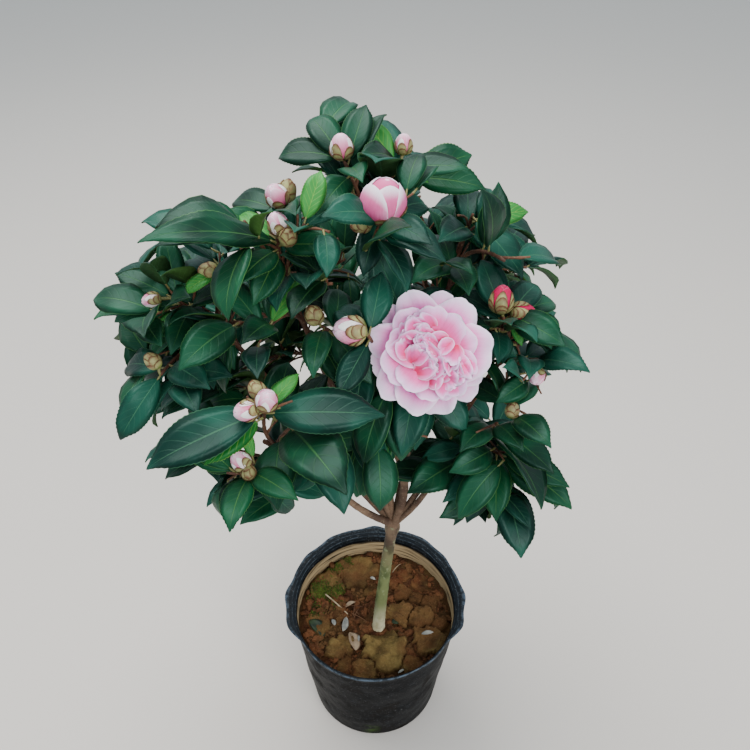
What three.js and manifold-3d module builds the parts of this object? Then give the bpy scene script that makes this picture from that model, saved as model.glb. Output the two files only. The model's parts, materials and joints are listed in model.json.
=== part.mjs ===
// A camellia shrub in its black nursery pot: trunk, boughs, masses of twigs and leaves, an open
// peony-form flower, one half-open bud and closed buds. Millimetres, +Z up, the origin at the centre
// of the pot's flat underside, and the side that the plant shows faces -Y.
import * as THREE from "three";
import { mergeVertices } from "three/addons/utils/BufferGeometryUtils.js";
import Module from "manifold-3d";

const wasm = await Module();
wasm.setup();

// Driving sizes of the pot and what fills it.
const POT_HEIGHT = 169;
const POT_BASE_RADIUS = 79;
const POT_MOUTH_RADIUS = 95;
const POT_WALL = 1.8;
const LIP_REACH = 9.5;
const LIP_THICKNESS = 3;
const LIP_DROP = 8;
const LIP_WAVE = 0.9;
const LIP_FOLD = 0.75;
const BASE_ROUND = 3;
const POT_SIDES = 30;
const SOIL_DEPTH_BELOW_LIP = 24;
const CLEARANCE = 0.3;
const SOIL_CLEARANCE = 0.6;
const SOIL_RINGS = 5;
const SOIL_SIDES = 24;
const SOIL_TOP = POT_HEIGHT - SOIL_DEPTH_BELOW_LIP;

// Driving sizes of the trunk, which leans a little to the right up to its fork.
const TRUNK_FOOT = vec(4, -18, SOIL_TOP + CLEARANCE);
const TRUNK_WAIST = vec(9, -18, 240);
const FORK = vec(18.5, -18, 336);
const TRUNK_FOOT_RADIUS = 7;
const TRUNK_TOP_RADIUS = 5.4;
const ROOT_FLARE = 2.6;
const FORK_RADIUS = 7.6;

// The crown: its middle and half-widths, its lowest leaf, and the point that its blooms face.
const CROWN_CENTRE = vec(-20, -5, 540);
const CROWN_RADII = vec(222, 200, 224);
const LOWEST_LEAF = 415;
const AXIS_FOOT = vec(-15, -10, 430);
const FRONT_POINT = vec(0, -516, 946);
const UP = vec(0, 0, 1);

// Shoots and leaves.
const GOLDEN_ANGLE = 2.399963;
const LEAF_LENGTHS = [55, 80];
const LEAF_SPACING = 9;
const MOST_LEAVES = 8;
const PETIOLE = 6;
const LEAF_THICKNESS = 1.5;
const PETIOLE_RADIUS = 0.7;
const SPACE_MARGIN = 3;
const SMALLEST_GAP = 0.1;
const FINEST_DETAIL = 0.02;
const LIMB_MARGIN = 1.5;
const SHOOT_SHELL = [0.45, 0.86];
const STEM_TIP_RADIUS = 2;
const TWIG_RADII = [1.8, 1.5];
const SIGHT_LENGTH = 400;

// Each mass of foliage with the bough that carries it. The bough runs from the fork a share of the
// way to the mass's heart, bowed to one side, and the mass's own stem goes on from there.
const MASSES = [
  { name: "lower_left", heart: [-85, -105, 540], share: 0.55, bow: [-5, -4, -9], seeded: 2, seed: 11 },
  { name: "left", heart: [-135, -20, 600], share: 0.55, bow: [-4, 0, -3], seeded: 3, seed: 5 },
  { name: "upper_left", heart: [-75, -25, 655], share: 0.58, bow: [3, 0, -3], seeded: 3, seed: 7 },
  { name: "top", heart: [-5, 10, 685], share: 0.6, bow: [-4, 0, 3], seeded: 2, seed: 3 },
  { name: "middle", heart: [10, -65, 590], share: 0.55, bow: [24, 3, 2], seeded: 1, seed: 9 },
  { name: "upper_right", heart: [70, 15, 650], share: 0.58, bow: [6, 2, -2], seeded: 3, seed: 2 },
  { name: "right", heart: [110, -45, 590], share: 0.55, bow: [5, 0, -5], seeded: 2, seed: 8 },
  { name: "lower_right", heart: [85, -60, 500], share: 0.5, bow: [6, 2, -8], seeded: 2, seed: 6 },
  { name: "back_left", heart: [-95, 95, 580], share: 0.58, bow: [0, 5, -6], seeded: 6, seed: 4 },
  { name: "back_right", heart: [60, 100, 575], share: 0.58, bow: [4, 5, -6], seeded: 6, seed: 1 },
  { name: "back_low", heart: [-25, 85, 480], share: 0.55, bow: [0, 4, -7], seeded: 5, seed: 12 },
];
const MASS_REACH = 150;
const BOUGH_RADII = { middle: [4.6, 3], top: [3.8, 2.8], lower_left: [3.8, 2.8] };
const OTHER_BOUGH_RADII = [3.4, 2.6];
const BOUGH_SIDES = 6;
const BOUGH_STEPS = 4;
const EXTRA_LEAVES = 1;
const YOUNG = "young";

// The shoots that the plant shows, each with its tip and its leading leaves: a leaf is its bearing
// round the tip as seen from the front point (0 is up, 90 to the right), its length and how far it
// leans towards that point, both angles in degrees.
const SHOOTS = [
  { name: "trio", mass: "lower_left", tip: [-75, -135, 600], leaves: [
    [252, 90, 0], [100, 85, 15], [45, 40, -15, YOUNG], [240, 55, 15, YOUNG],
  ] },
  { name: "broad", mass: "lower_left", tip: [-60, -120, 570], leaves: [[150, 90, 50], [10, 55, -50]] },
  { name: "low_pair", mass: "lower_left", tip: [-90, -150, 550], leaves: [
    [212, 52, 35], [135, 55, 45], [290, 55, -45], [130, 20, 25, YOUNG], [350, 30, -15, YOUNG],
  ] },
  { name: "green_bud", mass: "left", tip: [-160, -85, 590], leaves: [
    [222, 62, 0], [285, 55, -55], [135, 55, 50],
  ] },
  { name: "red_tip", mass: "left", tip: [-155, -35, 625], leaves: [
    [305, 55, -25], [0, 55, -15], [262, 58, 5], [230, 35, 15, YOUNG], [80, 55, 40], [210, 55, 45],
  ] },
  { name: "cream", mass: "left", tip: [-115, -35, 650], leaves: [
    [245, 35, 15, YOUNG], [305, 55, -50], [20, 55, -60],
  ] },
  { name: "big_left", mass: "left", tip: [-100, -60, 620], leaves: [[240, 65, 30]] },
  { name: "tuft", mass: "upper_left", tip: [-80, -80, 625], leaves: [
    [325, 55, -15], [45, 50, -15, YOUNG], [30, 55, -50], [230, 55, 65],
  ] },
  { name: "crown_pair", mass: "upper_left", tip: [-70, -40, 680], leaves: [
    [295, 45, -15, YOUNG], [277, 109, 33], [100, 55, 30], [235, 55, 45], [205, 55, 45],
  ] },
  { name: "bright", mass: "upper_left", tip: [-50, -40, 690], leaves: [
    [25, 45, -15, YOUNG], [60, 55, -30], [150, 55, 70],
  ] },
  { name: "ul_pair", mass: "upper_left", tip: [-70, -5, 685], leaves: [
    [285, 55, -45], [90, 55, 65], [225, 55, 70], [330, 55, -65],
  ] },
  { name: "top_bud", mass: "top", tip: [-25, 20, 715], leaves: [
    [274, 56, -20], [320, 55, -35], [15, 55, -25], [135, 55, 65], [220, 55, 45],
  ] },
  { name: "half_open", mass: "top", tip: [5, -40, 695], leaves: [
    [270, 55, 40], [120, 55, 45], [75, 55, -45], [195, 55, 55],
  ] },
  { name: "pointed", mass: "top", tip: [20, 35, 705], leaves: [
    [280, 55, 40], [320, 50, -15, YOUNG], [85, 60, 15], [100, 30, 15, YOUNG], [200, 55, 55],
  ] },
  { name: "ur_leaf", mass: "top", tip: [30, 40, 690], leaves: [[96, 62, 15], [70, 60, -15]] },
  { name: "ur_tip", mass: "upper_right", tip: [75, 5, 675], leaves: [
    [135, 65, 20], [85, 35, 15, YOUNG], [75, 50, -15, YOUNG], [235, 55, 65], [355, 55, -50],
    [110, 60, 15],
  ] },
  { name: "ur_inner", mass: "upper_right", tip: [60, -10, 640], leaves: [
    [245, 55, 50], [135, 55, 60], [340, 55, -55],
  ] },
  { name: "crimson", mass: "right", tip: [95, -60, 625], leaves: [
    [330, 55, -25], [35, 55, -45], [295, 55, -50], [5, 55, -30],
  ] },
  { name: "crimson_side", mass: "right", tip: [100, -55, 625], leaves: [
    [118, 55, 30], [150, 25, 15, YOUNG], [60, 50, -40], [100, 55, 60], [225, 55, 55],
  ] },
  { name: "white_pink", mass: "right", tip: [120, -70, 590], leaves: [
    [90, 55, 35], [160, 55, 75], [285, 55, -35], [65, 55, -65],
  ] },
  { name: "pale_green", mass: "right", tip: [105, -100, 560], leaves: [
    [125, 52, 45], [20, 60, -60], [335, 55, -55], [285, 55, -60],
  ] },
  { name: "lr_upper", mass: "lower_right", tip: [95, -90, 545], leaves: [
    [130, 55, 60], [120, 60, 15], [230, 55, 60],
  ] },
  { name: "lr_tip", mass: "lower_right", tip: [100, -95, 515], leaves: [
    [106, 62, 15], [172, 58, 20], [117, 78, 10], [290, 55, -50],
  ] },
  { name: "lr_low", mass: "lower_right", tip: [105, -90, 480], leaves: [
    [154, 72, 15], [230, 65, 40], [285, 55, -55],
  ] },
  { name: "lr_inner", mass: "lower_right", tip: [75, -75, 490], leaves: [
    [225, 68, 35], [125, 55, 70], [325, 55, -55],
  ] },
  { name: "flower_foot", mass: "middle", tip: [40, -75, 585], leaves: [
    [145, 60, 15], [190, 70, 15], [175, 65, 15],
  ] },
  { name: "flower_top", mass: "middle", tip: [25, -50, 615], leaves: [
    [330, 65, -15], [50, 55, -30], [355, 55, -40],
  ] },
  { name: "flower_left", mass: "middle", tip: [0, -65, 550], leaves: [
    [295, 55, -65], [190, 85, 15], [175, 65, 15], [335, 55, -40],
  ] },
  { name: "large_pink", mass: "middle", tip: [-5, -90, 630], leaves: [
    [25, 55, -15], [200, 55, 40], [310, 55, -50],
  ] },
  { name: "small_bud", mass: "middle", tip: [-40, -65, 620], leaves: [
    [200, 55, 45], [145, 55, 20], [15, 55, -50],
  ] },
];
// The blooms: the shoot that bears each, its middle, its bearing and lean, and its width.
const BLOOMS = [
  { shoot: "flower_foot", kind: "open_flower", at: [39, -98, 620], faces: [0, 90], width: 87 },
  { shoot: "half_open", kind: "half_open", at: [6, -38, 708], faces: [10, 25], width: 30 },
  { shoot: "half_open", kind: "green", at: [-10, -45, 693], faces: [260, 10], width: 12 },
  { shoot: "top_bud", kind: "pink", at: [-25, 21, 722], faces: [355, 20], width: 16 },
  { shoot: "pointed", kind: "pink", at: [22, 40, 716], faces: [0, 10], width: 13 },
  { shoot: "ul_pair", kind: "pink", at: [-73, -4, 695], faces: [330, 40], width: 16 },
  { shoot: "ul_pair", kind: "green", at: [-66, 4, 695], faces: [20, 20], width: 14 },
  { shoot: "crown_pair", kind: "pink", at: [-69, -39, 691], faces: [345, 30], width: 14 },
  { shoot: "crown_pair", kind: "green", at: [-61, -48, 685], faces: [30, 60], width: 12 },
  { shoot: "cream", kind: "green", at: [-124, -38, 651], faces: [280, 10], width: 12 },
  { shoot: "red_tip", kind: "crimson", at: [-170, -42, 627], faces: [268, 10], width: 12 },
  { shoot: "green_bud", kind: "green", at: [-165, -81, 600], faces: [325, 15], width: 11 },
  { shoot: "small_bud", kind: "green", at: [-45, -65, 630], faces: [330, 40], width: 13 },
  { shoot: "large_pink", kind: "pink", at: [-18, -91, 635], faces: [275, 5], width: 19 },
  { shoot: "trio", kind: "green", at: [-80, -132, 616], faces: [330, 20], width: 11 },
  { shoot: "trio", kind: "pink", at: [-72, -143, 616], faces: [10, 60], width: 14 },
  { shoot: "trio", kind: "pink", at: [-87, -143, 606], faces: [262, 20], width: 14 },
  { shoot: "low_pair", kind: "pink", at: [-95, -147, 562], faces: [320, 30], width: 13 },
  { shoot: "low_pair", kind: "green", at: [-89, -154, 557], faces: [200, 60], width: 10 },
  { shoot: "crimson", kind: "crimson", at: [93, -56, 638], faces: [3, 15], width: 16 },
  { shoot: "crimson_side", kind: "crimson", at: [110, -59, 628], faces: [92, 5], width: 14 },
  { shoot: "white_pink", kind: "pink", at: [121, -84, 587], faces: [190, 50], width: 12 },
  { shoot: "pale_green", kind: "green", at: [103, -100, 568], faces: [5, 20], width: 10 },
];

// The open places through which the ground shows: a point on the line of sight and its radius.
const GAPS = [
  { name: "beside the boughs", at: [47, -51, 410], radius: 16 },
  { name: "over the pot", at: [58, -87, 367], radius: 18 },
  { name: "below the lower left leaves", at: [-144, -144, 517], radius: 20 },
  { name: "under the lower left shoots", at: [-64, -154, 473], radius: 14 },
  { name: "beyond the upper left leaves", at: [-107, 18, 713], radius: 26 },
  { name: "beyond the upper right leaves", at: [150, 21, 654], radius: 18 },
  { name: "over the lower left shoots", at: [-84, -118, 549], radius: 10 },
  { name: "under the upper right leaves", at: [50, 40, 676], radius: 11 },
  { name: "above the flower", at: [29, 9, 639], radius: 6 },
  { name: "among the left twigs", at: [-100, -38, 582], radius: 5 },
  { name: "under the lower left shoots, right", at: [-50, -124, 479], radius: 10 },
  { name: "below the right tip", at: [159, -65, 549], radius: 16 },
  { name: "below the right tip, inner", at: [139, -72, 542], radius: 11 },
  { name: "beyond the left leaves", at: [-217, -46, 573], radius: 13 },
  { name: "beyond the left tip", at: [-220, -1, 627], radius: 9 },
  { name: "beyond the top", at: [30, 77, 722], radius: 12 },
  { name: "beyond the top, right", at: [58, 74, 718], radius: 12 },
  { name: "above the long left leaf", at: [-158, 44, 681], radius: 13 },
  { name: "above the upper right leaves", at: [111, 44, 681], radius: 9 },
  { name: "under the low shoots, left", at: [-130, -132, 469], radius: 12 },
  { name: "under the low shoots, right", at: [-95, -136, 464], radius: 12 },
  { name: "under the low shoots, far right", at: [-71, -132, 469], radius: 9 },
  { name: "under the lower right leaves", at: [81, -137, 463], radius: 12 },
  { name: "above the right tip", at: [161, -33, 589], radius: 9 },
  { name: "beyond the crimson buds", at: [158, -20, 604], radius: 9 },
  { name: "under the lower right leaves, left", at: [70, -136, 464], radius: 9 },
  { name: "beyond the top, low", at: [39, 68, 710], radius: 8 },
  { name: "above the left leaves", at: [-193, 11, 642], radius: 11 },
  { name: "below the big left leaf", at: [-138, -110, 495], radius: 8 },
];

// The outline of a leaf in stations: the share of its length and the share of its width there.
const BLADE = [[0, 0.25], [0.3, 0.92], [0.72, 0.74], [1, 0]];

// Turns that a leaf tries, in radians or degrees, before it is given up.
const SEEDED_TURNS = [0, 0.5, -0.5, 1, -1, 1.5, -1.5, 2.1, -2.1];
const LEADING_TURNS = [[0, 0], [6, 0], [-6, 0], [0, 12], [0, -12], [12, 0], [-12, 0], [8, 20], [-8, 20],
  [8, -20], [-8, -20], [0, 32], [0, -32], [16, 30], [-16, 30], [16, -30], [-16, -30], [24, 10], [-24, 10],
  [24, -15], [-24, -15], [0, 45], [0, -45]];

const RADIAN = Math.PI / 180;

function vec(x, y, z) {
  return new THREE.Vector3(x, y, z);
}

function seededNumbers(seed) {
  let state = seed;
  return (low, high) => {
    state = (state * 1664525 + 1013904223) % 4294967296;
    return low + (high - low) * (state / 4294967296);
  };
}

// A limb's or twig's course: a curve from one point to another, drawn towards a third.
function course(from, bend, to) {
  return { from, bend, to };
}

function along(path, t) {
  return path.from.clone().multiplyScalar((1 - t) ** 2)
    .addScaledVector(path.bend, 2 * t * (1 - t))
    .addScaledVector(path.to, t * t);
}

function headingOf(path, t) {
  const first = path.bend.clone().sub(path.from).multiplyScalar(1 - t);
  return first.addScaledVector(path.to.clone().sub(path.bend), t).normalize();
}

function stationsOf(path, count) {
  return Array.from({ length: count }, (_, i) => along(path, i / (count - 1)));
}

// Two directions square to a heading.
function sideways(heading) {
  const reference = Math.abs(heading.z) > 0.95 ? vec(1, 0, 0) : UP;
  const across = heading.clone().cross(reference).normalize();
  return [across, heading.clone().cross(across)];
}

// The direction at a place that shows at a bearing and a lean from the front point.
function seenDirection(place, bearing, lean) {
  const toward = FRONT_POINT.clone().sub(place).normalize();
  const right = UP.clone().cross(toward).normalize();
  const up = toward.clone().cross(right);
  return up.multiplyScalar(Math.cos(bearing * RADIAN) * Math.cos(lean * RADIAN))
    .addScaledVector(right, Math.sin(bearing * RADIAN) * Math.cos(lean * RADIAN))
    .addScaledVector(toward, Math.sin(lean * RADIAN));
}

function distanceToSegment(point, a, b) {
  const ab = b.clone().sub(a);
  const t = Math.min(1, Math.max(0, point.clone().sub(a).dot(ab) / ab.lengthSq()));
  return point.distanceTo(a.clone().addScaledVector(ab, t));
}

// Whether any of the segments goes through any of the triangles.
function pierces(segments, triangles) {
  return segments.some(([p, q]) => {
    const d = q.clone().sub(p);
    return triangles.some(([a, b, c]) => {
      const e1 = b.clone().sub(a);
      const e2 = c.clone().sub(a);
      const h = d.clone().cross(e2);
      const det = e1.dot(h);
      if (Math.abs(det) < 1e-9) return false;
      const s = p.clone().sub(a);
      const u = s.dot(h) / det;
      if (u < 0 || u > 1) return false;
      const k = s.clone().cross(e1);
      const v = d.dot(k) / det;
      const t = e2.dot(k) / det;
      return v >= 0 && u + v <= 1 && t >= 0 && t <= 1;
    });
  });
}

function segmentsOf(points) {
  return points.slice(1).map((point, i) => [points[i], point]);
}

// The trunk and the boughs as courses with their radii at both ends.
const trunk = {
  name: "trunk",
  path: course(TRUNK_FOOT, TRUNK_WAIST, FORK),
  radii: [TRUNK_FOOT_RADIUS, TRUNK_TOP_RADIUS],
};
for (const mass of MASSES) {
  mass.middle = vec(...mass.heart);
  const way = mass.middle.clone().sub(FORK);
  const end = FORK.clone().addScaledVector(way, mass.share);
  const bend = FORK.clone().addScaledVector(way, mass.share / 2).add(vec(...mass.bow));
  mass.bough = {
    name: "bough_" + mass.name,
    path: course(FORK, bend, end),
    radii: BOUGH_RADII[mass.name] || OTHER_BOUGH_RADII,
  };
}
const limbs = [trunk, ...MASSES.map((mass) => mass.bough)];
for (const limb of limbs) limb.segments = segmentsOf(stationsOf(limb.path, 7));

for (const shoot of SHOOTS) shoot.foot = vec(...shoot.tip);
for (const bloom of BLOOMS) {
  bloom.centre = vec(...bloom.at);
  bloom.facing = seenDirection(bloom.centre, ...bloom.faces);
  const toFront = FRONT_POINT.clone().sub(bloom.centre).normalize();
  const open = bloom.kind === "open_flower";
  const near = open ? -4 : bloom.width * 0.4;
  bloom.sight = [
    bloom.centre.clone().addScaledVector(toFront, near),
    bloom.centre.clone().addScaledVector(toFront, SIGHT_LENGTH),
  ];
  bloom.sightRadius = bloom.width * (open ? 0.47 : 0.42);
  bloom.bodyRadius = bloom.width * (open ? 0.33 : 0.55);
}
for (const gap of GAPS) {
  gap.place = vec(...gap.at);
  const toFront = FRONT_POINT.clone().sub(gap.place).normalize();
  gap.sight = [
    gap.place.clone().addScaledVector(toFront, -SIGHT_LENGTH),
    gap.place.clone().addScaledVector(toFront, SIGHT_LENGTH),
  ];
}

// The stem and shoots of one mass. Seeded shoots go where the crown's outer part is still bare: of
// thirty seeded places that are nearest to this mass's heart, the one farthest from every other tip.
const allTips = SHOOTS.map((shoot) => shoot.foot);
function branchOut(mass) {
  const draw = seededNumbers(mass.seed);
  const bough = mass.bough;
  const heading = headingOf(bough.path, 1);
  const start = bough.path.to.clone().addScaledVector(heading, CLEARANCE);
  const reach = mass.middle.distanceTo(start);
  mass.draw = draw;
  mass.stem = course(start, start.clone().addScaledVector(heading, reach * 0.45), mass.middle);
  mass.shoots = SHOOTS.filter((shoot) => shoot.mass === mass.name);
  mass.leading = mass.shoots.length;
  for (let i = 0; i < mass.seeded; i++) {
    let best = null;
    let widest = -1;
    for (let k = 0; k < 30; k++) {
      const height = draw(-1, 1);
      const turn = draw(0, 2 * Math.PI);
      const share = draw(...SHOOT_SHELL);
      const level = Math.sqrt(1 - height * height);
      const place = vec(level * Math.cos(turn), level * Math.sin(turn), height)
        .multiply(CROWN_RADII).multiplyScalar(share).add(CROWN_CENTRE);
      const own = place.distanceTo(mass.middle);
      if (place.z < LOWEST_LEAF + 15 || own > MASS_REACH) continue;
      if (GAPS.some((gap) => distanceToSegment(place, ...gap.sight) < gap.radius)) continue;
      if (MASSES.some((other) => other !== mass && place.distanceTo(other.middle) < own)) continue;
      const room = Math.min(...allTips.map((tip) => place.distanceTo(tip)));
      if (room > widest) {
        widest = room;
        best = place;
      }
    }
    if (!best) continue;
    allTips.push(best);
    mass.shoots.push({ name: "seeded", foot: best, leaves: [] });
  }
  const stations = Array.from({ length: 9 }, (_, i) => 0.15 + (0.85 * i) / 8);
  mass.twigs = mass.shoots.map((shoot) => {
    const far = stations.map((t) => along(mass.stem, t).distanceTo(shoot.foot));
    const nearest = far.indexOf(Math.min(...far));
    const t = stations[Math.max(0, nearest - 2)];
    const root = along(mass.stem, t);
    const length = root.distanceTo(shoot.foot);
    const bend = root.clone()
      .addScaledVector(headingOf(mass.stem, t), length * 0.35)
      .addScaledVector(shoot.foot.clone().sub(root).normalize(), length * 0.15)
      .addScaledVector(UP, -length * 0.06);
    return { path: course(root, bend, shoot.foot), length };
  });
  mass.wood = [segmentsOf(stationsOf(mass.stem, 7))];
  for (const twig of mass.twigs) mass.wood.push(segmentsOf(stationsOf(twig.path, 5)));
  // The leading leaves mark out a mass's space with its twigs: it is all that lies nearer to these
  // anchors than to those of any other mass.
  mass.anchors = [mass.middle, along(mass.stem, 0.5)];
  mass.shoots.forEach((shoot, i) => {
    mass.anchors.push(shoot.foot, along(mass.twigs[i].path, 0.6));
    for (const [bearing, length, lean] of shoot.leaves) {
      const way = seenDirection(shoot.foot, bearing, lean);
      mass.anchors.push(shoot.foot.clone().addScaledVector(way, length * 0.5));
      mass.anchors.push(shoot.foot.clone().addScaledVector(way, length * 0.95));
    }
  });
}

// A leaf: its midrib and both edges at each station, rising from its heading and then drooping.
function leafLines(leaf) {
  const { root, heading, topSide, length, width, rise, droop, fold, roll } = leaf;
  const level = topSide.clone().addScaledVector(heading, -topSide.dot(heading)).normalize();
  const side = heading.clone().cross(level);
  const top = level.clone().multiplyScalar(Math.cos(roll)).addScaledVector(side, Math.sin(roll));
  const across = heading.clone().cross(top);
  const base = root.clone().addScaledVector(heading, PETIOLE);
  const turn = rise + droop;
  const lines = { middle: [], left: [], right: [], normal: [] };
  for (const [share, breadth] of BLADE) {
    const angle = rise - turn * share;
    const forward = ((Math.sin(rise) - Math.sin(angle)) / turn) * length;
    const upward = ((Math.cos(angle) - Math.cos(rise)) / turn) * length;
    const normal = top.clone().multiplyScalar(Math.cos(angle)).addScaledVector(heading, -Math.sin(angle));
    const centre = base.clone().addScaledVector(heading, forward).addScaledVector(top, upward);
    const half = (width / 2) * breadth;
    const lift = normal.clone().multiplyScalar(half * Math.sin(fold));
    lines.middle.push(centre);
    lines.left.push(centre.clone().addScaledVector(across, -half * Math.cos(fold)).add(lift));
    lines.right.push(centre.clone().addScaledVector(across, half * Math.cos(fold)).add(lift));
    lines.normal.push(normal);
  }
  return lines;
}

// A leaf's faces, edges and corner points for the tests of where it may be.
function leafTestShape({ middle, left, right }) {
  const last = BLADE.length - 1;
  const faces = [];
  const edges = [];
  for (let i = 0; i < last; i++) {
    for (const edge of [left, right]) {
      faces.push([middle[i], edge[i], edge[i + 1]]);
      if (i < last - 1) faces.push([middle[i], edge[i + 1], middle[i + 1]]);
    }
    edges.push([middle[i], middle[i + 1]], [left[i], left[i + 1]], [right[i], right[i + 1]]);
    if (i > 0) edges.push([left[i], middle[i]], [middle[i], right[i]]);
  }
  return { faces, edges, points: [...middle, ...left.slice(1, last), ...right.slice(1, last)] };
}

const grownLeaves = [];

// Seeded leaves stay inside the crown and in their own mass's space.
function keepsToSpace(mass, points) {
  const outside = (p) => {
    const q = p.clone().sub(CROWN_CENTRE).divide(CROWN_RADII);
    return q.lengthSq() > 1 || p.z < LOWEST_LEAF;
  };
  if (points.some(outside)) return false;
  const nearest = (p, anchors) => Math.min(...anchors.map((anchor) => anchor.distanceTo(p)));
  const others = MASSES.filter((other) => other !== mass).flatMap((other) => other.anchors);
  return points.every((p) => nearest(p, others) - nearest(p, mass.anchors) > SPACE_MARGIN);
}

function clearOfLimbs({ points, faces }) {
  return limbs.every((limb) => !pierces(limb.segments, faces) && limb.segments.every(([a, b]) =>
    points.every((p) => distanceToSegment(p, a, b) >= limb.radii[0] + LIMB_MARGIN)));
}

function clearOfWood(mass, twigNumber, faces) {
  return MASSES.every((other) => other.wood.every((segments, i) =>
    (other === mass && i === twigNumber + 1) || !pierces(segments, faces)));
}

// Blooms stand free, and nothing hides them or the gaps from the front point.
function leavesViewsOpen({ points, faces }, leading) {
  const tested = leading ? points.slice(2) : points;
  const hides = (sight, radius) =>
    tested.some((p) => distanceToSegment(p, ...sight) < radius) || pierces([sight], faces);
  if (BLOOMS.some((bloom) => hides(bloom.sight, bloom.sightRadius))) return false;
  if (BLOOMS.some((bloom) => tested.some((p) => p.distanceTo(bloom.centre) < bloom.bodyRadius))) {
    return false;
  }
  return leading || !GAPS.some((gap) => hides(gap.sight, gap.radius));
}

function clearOfLeaves({ faces, edges }, centre, radius) {
  const near = grownLeaves.filter((leaf) => leaf.centre.distanceTo(centre) < leaf.radius + radius);
  return near.every((leaf) => !pierces(edges, leaf.faces) && !pierces(leaf.edges, faces));
}

function tryLeaf(mass, twigNumber, leaf, leading) {
  const lines = leafLines(leaf);
  const shape = leafTestShape(lines);
  const centre = vec(0, 0, 0);
  for (const p of shape.points) centre.addScaledVector(p, 1 / shape.points.length);
  const radius = leaf.length * 0.75;
  const fits = (leading || keepsToSpace(mass, shape.points)) && clearOfLimbs(shape)
    && clearOfWood(mass, twigNumber, shape.faces) && leavesViewsOpen(shape, leading)
    && clearOfLeaves(shape, centre, radius);
  if (fits) {
    grownLeaves.push({ ...shape, centre, radius });
    mass.leaves.push({ ...leaf, lines });
  }
  return fits;
}

// The leading leaves of one mass: the straight line from a leaf's root to its tip has the leaf's
// own bearing and lean, or is turned a little where it wouldn't be clear.
function growLeadingLeaves(mass) {
  const draw = mass.draw;
  mass.twigs.forEach((twig, number) => {
    mass.shoots[number].leaves.forEach(([bearing, length, lean], i) => {
      const root = along(twig.path, 1 - Math.min(0.3, (3 * i + 2) / twig.length));
      const form = {
        rise: draw(0.05, 0.3), droop: draw(0.3, 0.8), fold: draw(0.1, 0.28), roll: draw(-0.25, 0.25),
      };
      const slimness = draw(0.42, 0.52);
      const toward = FRONT_POINT.clone().sub(root).normalize();
      const topSide = UP.clone().multiplyScalar(0.6).addScaledVector(toward, 0.6);
      const sag = (form.droop - form.rise) / 2;
      LEADING_TURNS.some(([turn, tip], n) => {
        const size = length * (1 - 0.01 * n) - PETIOLE;
        const chord = seenDirection(root, bearing + turn, lean + tip);
        const upper = topSide.clone().addScaledVector(chord, -topSide.dot(chord)).normalize();
        const heading = chord.multiplyScalar(Math.cos(sag)).addScaledVector(upper, Math.sin(sag));
        const leaf = { root, heading, topSide, length: size, width: size * slimness, ...form };
        return tryLeaf(mass, number, leaf, true);
      });
    });
  });
}

// The seeded leaves of one mass, in a spiral down each shoot from its tip.
function growSeededLeaves(mass) {
  const draw = mass.draw;
  mass.twigs.forEach((twig, number) => {
    const leading = number < mass.leading;
    const count = leading ? EXTRA_LEAVES : Math.min(MOST_LEAVES, 3 + Math.floor(twig.length / 14));
    const phase = draw(0, 2 * Math.PI);
    for (let i = 0; i < count; i++) {
      const spread = Math.min(0.8, (LEAF_SPACING * (count + 1)) / twig.length);
      const back = ((count - 1 - i + (leading ? 1 : 0)) / count) * spread;
      const t = Math.max(0.1, 0.98 - back);
      const root = along(twig.path, t);
      const axis = headingOf(twig.path, t);
      const [a, b] = sideways(axis);
      const length = draw(...LEAF_LENGTHS);
      const angle = draw(0.75, 1.2) + 0.3 * back;
      const form = {
        rise: draw(0.05, 0.35), droop: draw(0.35, 0.95), fold: draw(0.1, 0.3), roll: draw(-0.35, 0.35),
      };
      const slimness = draw(0.47, 0.56);
      const outward = root.clone().sub(AXIS_FOOT).normalize();
      SEEDED_TURNS.some((turn, n) => {
        const around = phase + i * GOLDEN_ANGLE + turn;
        const heading = axis.clone().multiplyScalar(Math.cos(angle))
          .addScaledVector(a, Math.cos(around) * Math.sin(angle))
          .addScaledVector(b, Math.sin(around) * Math.sin(angle))
          .addScaledVector(UP, 0.1).normalize();
        const topSide = UP.clone().multiplyScalar(0.8).addScaledVector(outward, 0.6);
        if (Math.abs(topSide.clone().normalize().dot(heading)) > 0.93) {
          topSide.addScaledVector(FRONT_POINT.clone().sub(root).normalize(), 0.6);
        }
        const size = length * (1 - 0.04 * n);
        const leaf = { root, heading, topSide, length: size, width: size * slimness, ...form };
        return tryLeaf(mass, number, leaf, false);
      });
    }
  });
}

for (const mass of MASSES) {
  mass.leaves = [];
  branchOut(mass);
}
for (const mass of MASSES) growLeadingLeaves(mass);
for (const mass of MASSES) growSeededLeaves(mass);

// The forms of blooms. The open flower's petals stand in whorls at an angle from its axis, and its
// lengths, widths and settings are shares of its own width.
const FLOWER = "flower";
const WHORLS = [
  { petals: 9, angle: 84, length: 0.52, width: 0.37, turn: 0, set: -0.14 },
  { petals: 5, angle: 56, length: 0.4, width: 0.36, turn: 0.3, set: -0.1 },
];
const PETAL = [[0.6, 1, 0], [1, 0.62, -10]];
const PETAL_TWIST = 0.26;
const PETAL_CUP = 0.1;
const PETAL_THICKNESS = 1.2;
const HEART = {
  width: 0.44, length: 0.4, set: -0.04, sides: 8, ruffle: 0.1, girth: [[-0.2, 0.8], [0.1, 1], [0.35, 0.7]],
};
const HALF_OPEN = { stretch: 1.35, sides: 8, ruffle: 0, girth: [[-0.3, 0.65], [0, 1], [0.35, 0.7]] };
const BUD = { stretch: 1.3, sides: 5, ruffle: 0, girth: [[-0.2, 1], [0.22, 0.85]] };
const BLOOM_KINDS = { open_flower: FLOWER, half_open: HALF_OPEN, pink: BUD, green: BUD, crimson: BUD };
const FOOT_DEPTH = 1.5;

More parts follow.
